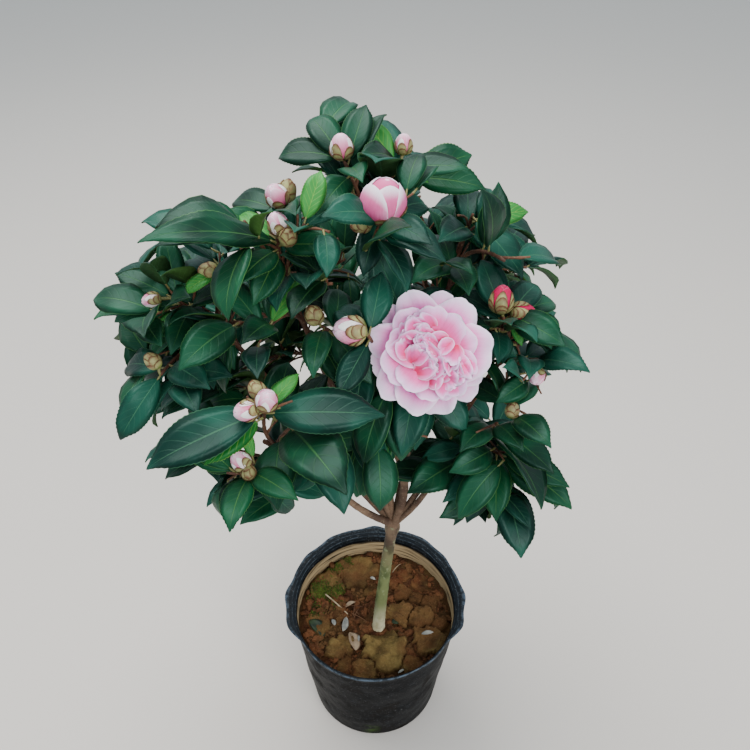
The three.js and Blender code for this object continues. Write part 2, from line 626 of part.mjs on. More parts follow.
// A closed geometry as a solid that can be cut and joined.
function solidOf(geometry) {
  const bare = new THREE.BufferGeometry();
  bare.setAttribute("position", geometry.getAttribute("position"));
  bare.setIndex(geometry.index);
  const merged = mergeVertices(bare, 1e-4);
  const corners = merged.index.array;
  const kept = [];
  for (let i = 0; i < corners.length; i += 3) {
    const [a, b, c] = [corners[i], corners[i + 1], corners[i + 2]];
    if (a !== b && b !== c && c !== a) kept.push(a, b, c);
  }
  const vertProperties = merged.attributes.position.array;
  const make = (list) => new wasm.Manifold(
    new wasm.Mesh({ numProp: 3, vertProperties, triVerts: new Uint32Array(list) }),
  );
  const solid = make(kept);
  return solid.volume() < 0 ? make(kept.reverse()) : solid;
}

function geometryOf(solid) {
  const mesh = solid.getMesh();
  const stride = mesh.numProp;
  const positions = new Float32Array((mesh.vertProperties.length / stride) * 3);
  for (let i = 0; i < positions.length / 3; i++) {
    positions.set(mesh.vertProperties.subarray(i * stride, i * stride + 3), i * 3);
  }
  const geometry = new THREE.BufferGeometry();
  geometry.setAttribute("position", new THREE.BufferAttribute(positions, 3));
  geometry.setIndex(new THREE.BufferAttribute(new Uint32Array(mesh.triVerts), 1));
  geometry.computeVertexNormals();
  return geometry;
}

// A skin over rings of points, closed by a flat cap, or by a single point, at each end.
function skin(rings) {
  const positions = [];
  const starts = [];
  for (const ring of rings) {
    starts.push(positions.length / 3);
    for (const p of ring) positions.push(p.x, p.y, p.z);
  }
  const index = [];
  for (let i = 0; i + 1 < rings.length; i++) {
    const sides = Math.max(rings[i].length, rings[i + 1].length);
    for (let j = 0; j < sides; j++) {
      const a = starts[i] + (j % rings[i].length);
      const b = starts[i] + ((j + 1) % rings[i].length);
      const c = starts[i + 1] + ((j + 1) % rings[i + 1].length);
      const d = starts[i + 1] + (j % rings[i + 1].length);
      if (a !== b) index.push(a, b, d);
      if (c !== d) index.push(b, c, d);
    }
  }
  const last = rings.length - 1;
  for (let j = 1; j + 1 < rings[0].length; j++) index.push(starts[0], starts[0] + j + 1, starts[0] + j);
  for (let j = 1; j + 1 < rings[last].length; j++) {
    index.push(starts[last], starts[last] + j, starts[last] + j + 1);
  }
  const geometry = new THREE.BufferGeometry();
  geometry.setAttribute("position", new THREE.Float32BufferAttribute(positions, 3));
  geometry.setIndex(index);
  return solidOf(geometry);
}

// A round limb along its course, with the radius given as a function of the share of its length.
function limbSolid(path, radiusAt, sides, steps, levelFoot = false) {
  const rings = [];
  let [across] = sideways(headingOf(path, 0));
  for (let i = 0; i <= steps; i++) {
    const t = i / steps;
    const heading = headingOf(path, t);
    across = across.clone().addScaledVector(heading, -across.dot(heading)).normalize();
    const over = heading.clone().cross(across);
    const centre = along(path, t);
    const ring = [];
    for (let j = 0; j < sides; j++) {
      const angle = (2 * Math.PI * j) / sides;
      const p = centre.clone()
        .addScaledVector(across, radiusAt(t) * Math.cos(angle))
        .addScaledVector(over, radiusAt(t) * Math.sin(angle));
      if (levelFoot && i === 0) p.z = centre.z;
      ring.push(p);
    }
    rings.push(ring);
  }
  return skin(rings);
}

const taper = ([low, high], grown = 0) => (t) => low + (high - low) * t + grown;

// The trunk flares at its flat foot and ends in the swollen knot from which the boughs spring.
function trunkSolid(grown) {
  const height = FORK.z - TRUNK_FOOT.z;
  const radiusAt = (t) => taper(trunk.radii, grown)(t) + ROOT_FLARE * Math.exp((-t * height) / 9);
  const stemSolid = limbSolid(trunk.path, radiusAt, 9, 8, true);
  const knot = new THREE.SphereGeometry(FORK_RADIUS + grown, 8, 6);
  knot.rotateX(Math.PI / 2).scale(1, 1, 1.25).translate(FORK.x, FORK.y, FORK.z - 3);
  return stemSolid.add(solidOf(knot));
}

// A leaf is a blade with a ridge on its midrib, drawn in to a stalk whose root is sunk in the twig.
function leafSolid(leaf) {
  const { middle, left, right, normal } = leaf.lines;
  const high = leaf.root.clone().addScaledVector(normal[0], PETIOLE_RADIUS);
  const low = leaf.root.clone().addScaledVector(normal[0], -PETIOLE_RADIUS);
  const rings = [[low, high, high, low]];
  const last = middle.length - 1;
  for (let i = 1; i < last; i++) {
    const lift = normal[i].clone().multiplyScalar(LEAF_THICKNESS / 2);
    rings.push([left[i], middle[i].clone().add(lift), right[i], middle[i].clone().sub(lift)]);
  }
  rings.push([middle[last]]);
  return skin(rings);
}

// A bud or half-open bloom: an egg drawn in to its foot, which may be ruffled round its sides.
function eggSolid(foot, centre, facing, { width, length, sides, girth, ruffle }) {
  const [a, b] = sideways(facing);
  const rings = girth.map(([share, breadth]) => {
    const middle = centre.clone().addScaledVector(facing, share * length);
    return Array.from({ length: sides }, (_, j) => {
      const turn = (2 * Math.PI * j) / sides;
      const reach = (width / 2) * breadth * (1 + ruffle * (j % 2 ? -1 : 1));
      return middle.clone()
        .addScaledVector(a, reach * Math.cos(turn))
        .addScaledVector(b, reach * Math.sin(turn));
    });
  });
  return skin([[foot], ...rings, [centre.clone().addScaledVector(facing, length / 2)]]);
}

// One petal: its angle from the flower's axis closes a little from base to rim, and it is twisted so
// that its one side lies over its neighbour's.
function petalSolid(bloom, whorl, turn) {
  const [a, b] = sideways(bloom.facing);
  const size = bloom.width;
  const outward = a.clone().multiplyScalar(Math.cos(turn)).addScaledVector(b, Math.sin(turn));
  const level = bloom.facing.clone().cross(outward);
  const across = level.multiplyScalar(Math.cos(PETAL_TWIST))
    .addScaledVector(bloom.facing, Math.sin(PETAL_TWIST));
  const base = bloom.centre.clone().addScaledVector(bloom.facing, size * whorl.set);
  const above = base.clone().addScaledVector(bloom.facing, PETAL_THICKNESS);
  const rings = PETAL.map(([share, breadth, bow]) => {
    const angle = (whorl.angle + bow) * RADIAN;
    const far = share * whorl.length * size;
    const centre = base.clone()
      .addScaledVector(outward, far * Math.sin(angle))
      .addScaledVector(bloom.facing, far * Math.cos(angle));
    const half = (breadth * whorl.width * size) / 2;
    const up = bloom.facing.clone().multiplyScalar(Math.sin(angle))
      .addScaledVector(outward, -Math.cos(angle));
    return [
      centre.clone().addScaledVector(across, -half).addScaledVector(up, half * PETAL_CUP),
      centre.clone().addScaledVector(up, PETAL_THICKNESS / 2),
      centre.clone().addScaledVector(across, half).addScaledVector(up, half * PETAL_CUP),
      centre.clone().addScaledVector(up, -PETAL_THICKNESS / 2),
    ];
  });
  return skin([[base, above, above, base], ...rings]);
}

// The open flower: whorls of broad petals round a ruffled middle, the inner whorl steeper.
function flowerSolids(bloom) {
  const size = { ...HEART, width: bloom.width * HEART.width, length: bloom.width * HEART.length };
  const middle = bloom.centre.clone().addScaledVector(bloom.facing, bloom.width * HEART.set);
  const foot = middle.clone().addScaledVector(bloom.facing, -size.length / 2);
  const solids = [eggSolid(foot, middle, bloom.facing, size)];
  for (const whorl of WHORLS) {
    for (let k = 0; k < whorl.petals; k++) {
      solids.push(petalSolid(bloom, whorl, whorl.turn + (2 * Math.PI * k) / whorl.petals));
    }
  }
  return solids;
}

// The solids of a bloom, which a stalk or its own drawn-in foot joins to its shoot.
function bloomSolids(bloom, path) {
  const form = BLOOM_KINDS[bloom.kind];
  const foot = along(path, 1).addScaledVector(headingOf(path, 1), -FOOT_DEPTH);
  if (form !== FLOWER) {
    const size = { ...form, width: bloom.width, length: bloom.width * form.stretch };
    return [eggSolid(foot, bloom.centre, bloom.facing, size)];
  }
  const end = bloom.centre.clone().addScaledVector(bloom.facing, -bloom.width * 0.2);
  const stalk = course(foot, foot.clone().lerp(end, 0.5), end);
  return [limbSolid(stalk, taper([TWIG_RADII[1], 2 * TWIG_RADII[1]]), 4, 1), ...flowerSolids(bloom)];
}

// The largest whole body of a solid, without inner shells or scraps.
function largestBody(solid) {
  const bodies = solid.decompose();
  return bodies.reduce((best, body) => (body.volume() > best.volume() ? body : best));
}

// The stem, twigs and blooms of a mass.
function woodOf(mass) {
  const stemRadii = [mass.bough.radii[1] * 0.95, STEM_TIP_RADIUS];
  const pieces = [limbSolid(mass.stem, taper(stemRadii), 5, 3)];
  for (const twig of mass.twigs) pieces.push(limbSolid(twig.path, taper(TWIG_RADII), 3, 2));
  for (const bloom of BLOOMS) {
    const number = mass.shoots.findIndex((shoot) => shoot.name === bloom.shoot);
    if (number >= 0) pieces.push(...bloomSolids(bloom, mass.twigs[number].path));
  }
  return wasm.Manifold.union(pieces);
}

// A mass's leaves that stay clear of the neighbours' solids, fused to its wood.
function massSolid(wood, leaves, neighbours) {
  const kept = leaves.map(leafSolid).filter((leaf) =>
    neighbours.every((other) => other.minGap(leaf, 1) >= SMALLEST_GAP));
  return largestBody(wasm.Manifold.union([wood, ...kept]).simplify(FINEST_DETAIL));
}

// The pot is one turned shell whose soft lip rolls outwards, wavy, and is pressed flat at the front.
function potSolid() {
  const neck = POT_MOUTH_RADIUS + POT_WALL;
  const edge = neck + LIP_REACH;
  const floor = POT_BASE_RADIUS - POT_WALL;
  const profile = [
    [0, 0],
    [POT_BASE_RADIUS - BASE_ROUND, 0],
    [POT_BASE_RADIUS, BASE_ROUND],
    [neck, POT_HEIGHT - LIP_DROP],
    [edge, POT_HEIGHT - LIP_DROP + LIP_THICKNESS],
    [edge, POT_HEIGHT - LIP_THICKNESS / 2],
    [edge - LIP_REACH / 2, POT_HEIGHT],
    [POT_MOUTH_RADIUS, POT_HEIGHT - LIP_THICKNESS / 2],
    [POT_MOUTH_RADIUS - POT_WALL, POT_HEIGHT - 2 * LIP_DROP],
    [floor, BASE_ROUND + POT_WALL],
    [floor - BASE_ROUND, POT_WALL],
    [0, POT_WALL],
  ];
  const lathe = new THREE.LatheGeometry(profile.map((p) => new THREE.Vector2(...p)), POT_SIDES);
  lathe.rotateX(Math.PI / 2);
  const position = lathe.getAttribute("position");
  for (let i = 0; i < position.count; i++) {
    const x = position.getX(i);
    const y = position.getY(i);
    const radius = Math.hypot(x, y);
    const share = Math.max(0, (radius - neck) / LIP_REACH);
    const angle = Math.atan2(y, x);
    const folded = LIP_FOLD * Math.max(0, -Math.sin(angle)) ** 3;
    const reach = radius + share * (LIP_WAVE * Math.sin(angle * 13) - LIP_REACH * folded);
    const rise = share * LIP_WAVE * Math.sin(angle * 7);
    if (share > 0) position.setXYZ(i, (x * reach) / radius, (y * reach) / radius, position.getZ(i) + rise);
  }
  return solidOf(lathe);
}

// The soil fills the pot up to below its lip, with clods and hollows but level round the trunk.
function soilSolid() {
  const low = POT_WALL + BASE_ROUND;
  const floor = POT_BASE_RADIUS - POT_WALL;
  const slope = (POT_MOUTH_RADIUS - POT_WALL - floor) / (POT_HEIGHT - 2 * LIP_DROP - low);
  const wallAt = (height) => floor + slope * (height - low) - SOIL_CLEARANCE;
  const brim = SOIL_TOP - 2;
  const edge = wallAt(brim);
  const profile = [
    [0, POT_WALL + CLEARANCE],
    [floor - BASE_ROUND - SOIL_CLEARANCE, POT_WALL + CLEARANCE],
    [wallAt(low + CLEARANCE), low + CLEARANCE],
    [edge, brim],
  ];
  for (let k = SOIL_RINGS; k >= 0; k--) profile.push([(edge * k) / (SOIL_RINGS + 0.6), SOIL_TOP]);
  const lathe = new THREE.LatheGeometry(profile.map((p) => new THREE.Vector2(...p)), SOIL_SIDES);
  lathe.rotateX(Math.PI / 2);
  const position = lathe.getAttribute("position");
  for (let i = 0; i < position.count; i++) {
    if (position.getZ(i) < SOIL_TOP - 0.5) continue;
    const x = position.getX(i);
    const y = position.getY(i);
    const fromTrunk = Math.hypot(x - TRUNK_FOOT.x, y - TRUNK_FOOT.y);
    const rough = THREE.MathUtils.clamp((fromTrunk - 20) / 15, 0, 1);
    const bumps = 1.6 * Math.sin(x * 0.11 + 1) * Math.cos(y * 0.09) + 1.1 * Math.sin(x * 0.23 - y * 0.19);
    position.setZ(i, SOIL_TOP + rough * bumps);
  }
  return solidOf(lathe);
}

// The finishes of the photographed plant.
const FINISHES = {
  pot: { color: 0x1d2023, roughness: 0.6, metalness: 0 },
  soil: { color: 0x6b4028, roughness: 1, metalness: 0 },
  bark: { color: 0x6f6350, roughness: 0.9, metalness: 0 },
  foliage: { color: 0x1f5138, roughness: 0.35, metalness: 0 },
};

const group = new THREE.Group();
function place(name, solid, finish) {
  const mesh = new THREE.Mesh(geometryOf(solid), new THREE.MeshStandardMaterial(FINISHES[finish]));
  mesh.name = name;
  group.add(mesh);
}

place("pot", potSolid(), "pot");
place("soil", soilSolid(), "soil");
place("trunk", trunkSolid(0), "bark");
const taken = [trunkSolid(CLEARANCE + 0.1)];
const placed = [trunkSolid(0)];
for (const mass of MASSES) {
  const { name, path, radii } = mass.bough;
  let solid = limbSolid(path, taper(radii), BOUGH_SIDES, BOUGH_STEPS);
  for (const other of taken) solid = solid.subtract(other);
  solid = largestBody(solid);
  place(name, solid, "bark");
  placed.push(solid);
  taken.push(limbSolid(path, taper(radii, CLEARANCE + 0.1), BOUGH_SIDES, BOUGH_STEPS));
}
const woods = MASSES.map(woodOf);
MASSES.forEach((mass, i) => {
  const solid = massSolid(woods[i], mass.leaves, [...placed, ...woods.slice(i + 1)]);
  place("foliage_" + mass.name, solid, "foliage");
  placed.push(solid);
});

export default group;
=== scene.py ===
# %% [markdown]
# # A potted camellia
# A small shrub stands in a black nursery pot: one leaning trunk, boughs that fan out of its fork, and
# a round crown of glossy leaves with buds and one open pink flower. The solids that the part is
# weighed and measured with come first, as a frame. Everything that shows is then made new on it.

# %% Load the frame
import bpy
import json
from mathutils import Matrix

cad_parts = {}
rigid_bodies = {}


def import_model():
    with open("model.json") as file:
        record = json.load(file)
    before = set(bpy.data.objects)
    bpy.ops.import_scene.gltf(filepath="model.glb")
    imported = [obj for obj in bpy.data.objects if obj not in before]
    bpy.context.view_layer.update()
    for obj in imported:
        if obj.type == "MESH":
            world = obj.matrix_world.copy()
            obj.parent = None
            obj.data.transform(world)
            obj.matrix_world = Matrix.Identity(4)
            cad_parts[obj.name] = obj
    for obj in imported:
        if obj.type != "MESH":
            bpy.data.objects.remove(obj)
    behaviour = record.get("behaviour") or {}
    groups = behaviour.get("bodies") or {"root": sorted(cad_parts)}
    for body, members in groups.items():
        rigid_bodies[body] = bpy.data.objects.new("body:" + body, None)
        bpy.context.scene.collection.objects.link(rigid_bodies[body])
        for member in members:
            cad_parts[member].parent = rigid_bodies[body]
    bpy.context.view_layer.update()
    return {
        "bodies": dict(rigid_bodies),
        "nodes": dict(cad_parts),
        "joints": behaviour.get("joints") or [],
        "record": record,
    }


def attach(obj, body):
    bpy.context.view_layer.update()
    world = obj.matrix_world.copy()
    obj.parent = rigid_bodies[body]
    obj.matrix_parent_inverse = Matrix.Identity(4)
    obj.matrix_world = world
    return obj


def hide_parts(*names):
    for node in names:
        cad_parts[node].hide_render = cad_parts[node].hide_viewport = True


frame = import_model()

import json
import math
import bpy
import numpy as np

MM = 0.001
FULL_TURN = 2 * math.pi
print("nodes in the frame:", len(frame["nodes"]))

# %% [markdown]
# ## Camera and light
# The plant is seen from above and in front. Blender's camera looks along its own -Z axis, so turning
# it about X by a right angle less the pitch aims it down at the pot. The light is that of a bright,
# clouded sky: a pale world, one very large soft lamp overhead and a weak one from the front, so that
# glossy leaves show broad, soft sheens and no hard shadows.

# %% Camera
FRONT_POINT = np.array([0.0, -516.0, 946.0])
LOOK_DOWN = 39.6
SENSOR_WIDTH = 36
camera = bpy.data.objects.new("viewpoint", bpy.data.cameras.new("viewpoint"))
bpy.context.scene.collection.objects.link(camera)
camera.location = FRONT_POINT * MM
camera.rotation_euler = (math.radians(90 - LOOK_DOWN), 0, 0)
# A lens as long as its sensor is wide takes in as much width as things are far away.
camera.data.lens = camera.data.sensor_width = SENSOR_WIDTH
bpy.context.scene.camera = camera
print("camera at", tuple(camera.location))

# %% Sky and lamps
CROWN_AIM = (0, 0, 0.4)


def set_sky(colour, strength):
    """An evenly lit sky: the same colour from every side."""
    world = bpy.data.worlds.new("clouded_sky")
    world.use_nodes = True
    sky = world.node_tree.nodes["Background"].inputs
    sky["Color"].default_value = (*colour, 1)
    sky["Strength"].default_value = strength
    bpy.context.scene.world = world


def add_lamp(name, place, size, power, colour):
    """A square lamp of a given width in metres that shines from one point towards the crown."""
    lamp = bpy.data.objects.new(name, bpy.data.lights.new(name, "AREA"))
    lamp.data.shape, lamp.data.size = "SQUARE", size
    lamp.data.energy, lamp.data.color = power, colour
    way = np.array(CROWN_AIM, float) - np.array(place, float)
    level = math.hypot(way[0], way[1])
    lamp.location = place
    lamp.rotation_euler = (math.atan2(level, -way[2]), 0, math.atan2(-way[0], way[1]))
    bpy.context.scene.collection.objects.link(lamp)


set_sky((0.78, 0.90, 1.0), 0.92)
add_lamp("high_cloud", (-0.5, 0.5, 2.3), 1.8, 68, (1.0, 0.98, 0.95))
add_lamp("low_cloud", (0.9, -1.7, 1.6), 1.4, 42, (1.0, 0.97, 0.95))

# %% [markdown]
# ## From arrays to a mesh
# Each new piece is a surface worked out with numpy as whole arrays, in millimetres like the frame's
# drawing, and scaled to metres as it goes into the mesh. Most pieces are tubes: rings of points, one
# after the other, with faces between them. Faces are arrays of corner numbers, one array for each
# number of corners. A map holds two numbers for each corner, in the faces' order.

# %% Mesh helpers
def unit(v):
    """A direction of length one: the vector over its own length."""
    return v / np.sqrt((v * v).sum(-1, keepdims=True))


def cross(a, b):
    """The direction square to two others: each part is the difference of two products."""
    ax, ay, az = a[..., 0], a[..., 1], a[..., 2]
    bx, by, bz = b[..., 0], b[..., 1], b[..., 2]
    return np.stack([ay * bz - az * by, az * bx - ax * bz, ax * by - ay * bx], -1)


def turns(count):
    """Angles evenly spaced round a circle."""
    return np.linspace(0, FULL_TURN, count, endpoint=False)


def stacked(*parts):
    """Arrays of coordinates, each of any matching shape, as one array of points or pairs."""
    return np.stack(np.broadcast_arrays(*parts), -1)


def ring_faces(tubes, rings, sides):
    """Quads between neighbouring rings of many equal tubes, then a flat cap at each tube's two ends."""
    start = np.arange(tubes)[:, None, None] * rings * sides
    ring = np.arange(rings - 1)[None, :, None] * sides
    side = np.arange(sides)[None, None, :]
    a, b = start + ring + side, start + ring + (side + 1) % sides
    quads = np.stack([a, b, b + sides, a + sides], -1).reshape(-1, 4)
    foot = start[:, 0] + np.arange(sides)[::-1]
    tip = start[:, 0] + (rings - 1) * sides + np.arange(sides)
    return [quads, np.concatenate([foot, tip])]


def ring_map(tubes, along_values, round_values):
    """The map of ring_faces: how far along and how far round each corner lies. along_values is for
    the rings, of each tube or of all, and the last of round_values closes the ring."""
    along_values = np.broadcast_to(along_values, (tubes, np.shape(along_values)[-1]))
    low, high = along_values[:, :-1, None], along_values[:, 1:, None]
    one, two = round_values[:-1], round_values[1:]
    quads = np.stack([stacked(low, one), stacked(low, two), stacked(high, two), stacked(high, one)], 3)
    foot, tip = stacked(along_values[:, :1], one[::-1]), stacked(along_values[:, -1:], one)
    return np.concatenate([corners.reshape(-1, 2) for corners in (quads, foot, tip)])


def make_piece(name, points, faces, finish, nodes=(), maps=None, smooth=True):
    """One mesh object that rides on the part, from arrays in millimetres, smooth or with flat faces."""
    corners = np.concatenate([part.ravel() for part in faces])
    totals = np.concatenate([np.full(len(part), part.shape[1]) for part in faces])
    starts = np.concatenate([[0], np.cumsum(totals)[:-1]])
    mesh = bpy.data.meshes.new(name)
    mesh.vertices.add(len(points))
    mesh.loops.add(len(corners))
    mesh.polygons.add(len(totals))
    mesh.vertices.foreach_set("co", (np.asarray(points) * MM).astype(np.float32).ravel())
    mesh.loops.foreach_set("vertex_index", corners.astype(np.int32))
    mesh.polygons.foreach_set("loop_start", starts.astype(np.int32))
    mesh.polygons.foreach_set("use_smooth", np.full(len(totals), smooth))
    for map_name, values in (maps or {}).items():
        layer = mesh.uv_layers.new(name=map_name)
        layer.uv.foreach_set("vector", np.asarray(values, np.float32).ravel())
    mesh.update(calc_edges=True)
    if mesh.validate(verbose=False):
        print(name, "had faces that were mended")
    piece = bpy.data.objects.new(name, mesh)
    bpy.context.scene.collection.objects.link(piece)
    piece.data.materials.append(finish)
    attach(piece, "root")
    if nodes:
        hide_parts(*nodes)
    print(f"{name}: {int((totals - 2).sum())} triangles")
    return piece


def tube_piece(name, points, finish, nodes=(), maps=None, smooth=True):
    """One joined piece of equal tubes, from points as tubes by rings by sides. maps gives the name of
    each map with its two rows of values, along the tubes and round them."""
    tubes, rings, sides = points.shape[:3]
    maps = {key: ring_map(tubes, *values) for key, values in (maps or {}).items()}
    faces = ring_faces(tubes, rings, sides)
    make_piece(name, points.reshape(-1, 3), faces, finish, nodes, maps, smooth)


RIPPLE_WAVES = 7


def ripple(points, size, seed):
    """Smooth seeded relief: the sum of sine waves that run in random directions, about size long,
    divided so that it mostly stays between -1 and 1."""
    numbers = np.random.default_rng(seed)
    ways = unit(numbers.normal(size=(RIPPLE_WAVES, 3))) * numbers.uniform(0.6, 1.7, (RIPPLE_WAVES, 1))
    phases = numbers.uniform(0, FULL_TURN, RIPPLE_WAVES)
    waves = np.sin(np.asarray(points) @ ways.T * (FULL_TURN / size) + phases)
    return waves.sum(-1) / math.sqrt(1.6 * RIPPLE_WAVES)


def smooth_step(low, high, value):
    """A share that eases from 0 at low to 1 at high."""
    t = np.clip((value - low) / (high - low), 0, 1)
    return t * t * (3 - 2 * t)


print("three turns:", turns(3).round(2))

# %% [markdown]
# ## Building finishes from nodes
# A material here is a small web of nodes that ends in one Principled shader. A pattern is one node's
# output, a number or a colour that changes over the piece. Patterns are added, multiplied and so on
# as numbers are, and each sum makes its node, so that a finish reads like a formula. They start from
# the piece's own map or from its Object coordinates. Colours are given as on a screen, 0 to 255.

# %% Patterns
def linear(red, green, blue):
    """A screen colour from 0 to 255 as the linear light that shaders work in."""
    shares = np.array([red, green, blue]) / 255
    low, high = shares / 12.92, ((shares + 0.055) / 1.055) ** 2.4
    return (*np.where(shares <= 0.04045, low, high).tolist(), 1.0)


def feed(tree, socket, value):
    """Gives a socket a pattern, a screen colour or a plain number."""
    if isinstance(value, Pattern):
        tree.links.new(value.output, socket)
    else:
        socket.default_value = linear(*value) if socket.type == "RGBA" else value


class Pattern:
    """A number or colour that changes over a piece: the output of one node."""

    def __init__(self, tree, output):
        self.tree, self.output = tree, output

    def joined(self, operation, a, b=0.0):
        """The pattern that a Math node makes of one or two others."""
        made = self.tree.nodes.new("ShaderNodeMath")
        made.operation = operation
        feed(self.tree, made.inputs[0], a)
        feed(self.tree, made.inputs[1], b)
        return Pattern(self.tree, made.outputs[0])

    def __rsub__(self, other):
        return self.joined("SUBTRACT", other, self)

    def clamped(self):
        """The same pattern, kept between 0 and 1."""
        self.output.node.use_clamp = True
        return self


def method(operation):
    """A method of patterns that makes a Math node with one operation."""
    return lambda self, other=0.0: self.joined(operation, self, other)


# The sums that patterns know. fraction is what is left above the whole number, which makes a pattern
# repeat, and at_least gives the greater of two.
SUMS = {"__add__": "ADD", "__sub__": "SUBTRACT", "__mul__": "MULTIPLY", "__truediv__": "DIVIDE",
        "__gt__": "GREATER_THAN", "__abs__": "ABSOLUTE", "fraction": "FRACT", "at_least": "MAXIMUM"}
for name, operation in SUMS.items():
    setattr(Pattern, name, method(operation))
print("sums:", list(SUMS))


# %% Finishes
class Finish:
    """A material in the making: its nodes and the links between them."""

    def __init__(self, name, roughness=0.5, **sockets):
        self.material = bpy.data.materials.new(name)
        self.material.use_nodes = True
        self.tree = self.material.node_tree
        self.shader = self.tree.nodes["Principled BSDF"]
        self.shader.inputs["Roughness"].default_value = roughness
        for socket, value in sockets.items():
            self.shader.inputs[socket.replace("_", " ")].default_value = value

    def pattern(self, kind, inputs, output=0, **settings):
        """The pattern that a new node makes of its inputs."""
        made = self.tree.nodes.new(kind)
        for key, value in settings.items():
            setattr(made, key, value)
        for socket, value in inputs.items():
            feed(self.tree, made.inputs[socket], value)
        return Pattern(self.tree, made.outputs[output])

    def step(self, value, low, high, start=0.0, end=1.0):
        """Eases from start, where value is low, to end, where it is high."""
        limits = {"From Min": low, "From Max": high, "To Min": start, "To Max": end}
        return self.pattern("ShaderNodeMapRange", {"Value": value, **limits}, interpolation_type="SMOOTHSTEP")

    def mix(self, share, one, two):
        """One colour passing into another as share goes from 0 to 1."""
        return self.pattern("ShaderNodeMix", {0: share, 6: one, 7: two}, 2, data_type="RGBA")

    def object_place(self):
        """A point's place in the piece's Object coordinates, in metres."""
        return self.pattern("ShaderNodeTexCoord", {}, "Object")

    def noise(self, scale, detail=3.0, place=None, stretch=None):
        """A cloudy pattern from about 0.3 to 0.7, on Object coordinates unless a place is given."""
        place = place or self.object_place()
        if stretch:
            place = self.pattern("ShaderNodeMapping", {"Vector": place, "Scale": stretch})
        return self.pattern("ShaderNodeTexNoise", {"Vector": place, "Scale": scale, "Detail": detail}, "Fac")

    def parts(self, place, *axes):
        """Single numbers of a place."""
        return [self.pattern("ShaderNodeSeparateXYZ", {0: place}, axis) for axis in axes]

    def own_map(self, name):
        """The piece's own map: the place, and its two numbers, along and round."""
        place = self.pattern("ShaderNodeUVMap", {}, uv_map=name)
        return place, *self.parts(place, 0, 1)

    def bump(self, height, distance, strength=1.0):
        """The surface's normal, tilted as if height were carved in it, distance metres deep."""
        return self.pattern("ShaderNodeBump", {"Height": height, "Distance": distance, "Strength": strength})

    def finish(self, colour, roughness=None, normal=None):
        """Joins the patterns to the shader and returns the material."""
        for socket, value in (("Base Color", colour), ("Roughness", roughness), ("Normal", normal)):
            if value is not None:
                feed(self.tree, self.shader.inputs[socket], value)
        return self.material


print("a middle grey in linear light:", round(linear(128, 128, 128)[0], 3))

# %% [markdown]
# ## How the plant grows
# The rule is the one that the part's solids grew by, so each branch and leaf lies where its solid
# does. A limb is a curve from one point to another, drawn towards a third. Boughs fan out of the fork
# to masses of foliage, each with its own middle, its heart. A mass has a stem, and shoots that spring
# from it. The shoots that show are rows of a table with their leading leaves, and all others come
# from seeded numbers, so that every run grows the same plant.

# %% Sizes of the plant, in millimetres
UP = np.array([0.0, 0.0, 1.0])
SOIL_TOP = 145.0
CLEARANCE = 0.3
FORK = np.array([18.5, -18.0, 336.0])
TRUNK = (np.array([4, -18, SOIL_TOP + CLEARANCE]), np.array([9.0, -18, 240]), FORK)
TRUNK_RADII = (7.0, 5.4)
BOUGH_RADII = {"middle": (4.6, 3.0), "top": (3.8, 2.8), "lower_left": (3.8, 2.8)}
OTHER_BOUGH_RADII = (3.4, 2.6)
CROWN_CENTRE = np.array([-20.0, -5, 540])
CROWN_RADII = np.array([222.0, 200, 224])
AXIS_FOOT = np.array([-15.0, -10, 430])
LOWEST_LEAF = 415.0
LOWEST_TIP = LOWEST_LEAF + 15
MASS_REACH = 150.0
SIGHT_LENGTH = 400.0
GOLDEN_ANGLE = 2.399963
YOUNG = "young"
print("crown from", CROWN_CENTRE - CROWN_RADII, "to", CROWN_CENTRE + CROWN_RADII)

# %% [markdown]
# A row of MASSES is a mass's name, its heart, the share of the way from fork to heart that is bough,
# how far the bough is bowed, how many seeded shoots it has, and the seed of its numbers.

# %% Masses of foliage
MASSES = [
    ("lower_left", (-85, -105, 540), 0.55, (-5, -4, -9), 2, 11),
    ("left", (-135, -20, 600), 0.55, (-4, 0, -3), 3, 5),
    ("upper_left", (-75, -25, 655), 0.58, (3, 0, -3), 3, 7),
    ("top", (-5, 10, 685), 0.6, (-4, 0, 3), 2, 3),
    ("middle", (10, -65, 590), 0.55, (24, 3, 2), 1, 9),
    ("upper_right", (70, 15, 650), 0.58, (6, 2, -2), 3, 2),
    ("right", (110, -45, 590), 0.55, (5, 0, -5), 2, 8),
    ("lower_right", (85, -60, 500), 0.5, (6, 2, -8), 2, 6),
    ("back_left", (-95, 95, 580), 0.58, (0, 5, -6), 6, 4),
    ("back_right", (60, 100, 575), 0.58, (4, 5, -6), 6, 1),
    ("back_low", (-25, 85, 480), 0.55, (0, 4, -7), 5, 12),
]
print(len(MASSES), "masses")

# %% [markdown]
# A row of SHOOTS is a shoot's name, its mass, its tip, and its leading leaves: each leaf's bearing
# round the tip as seen from the front (0 is up, 90 to the right), its length, and how far it leans
# towards the front, with the angles in degrees.

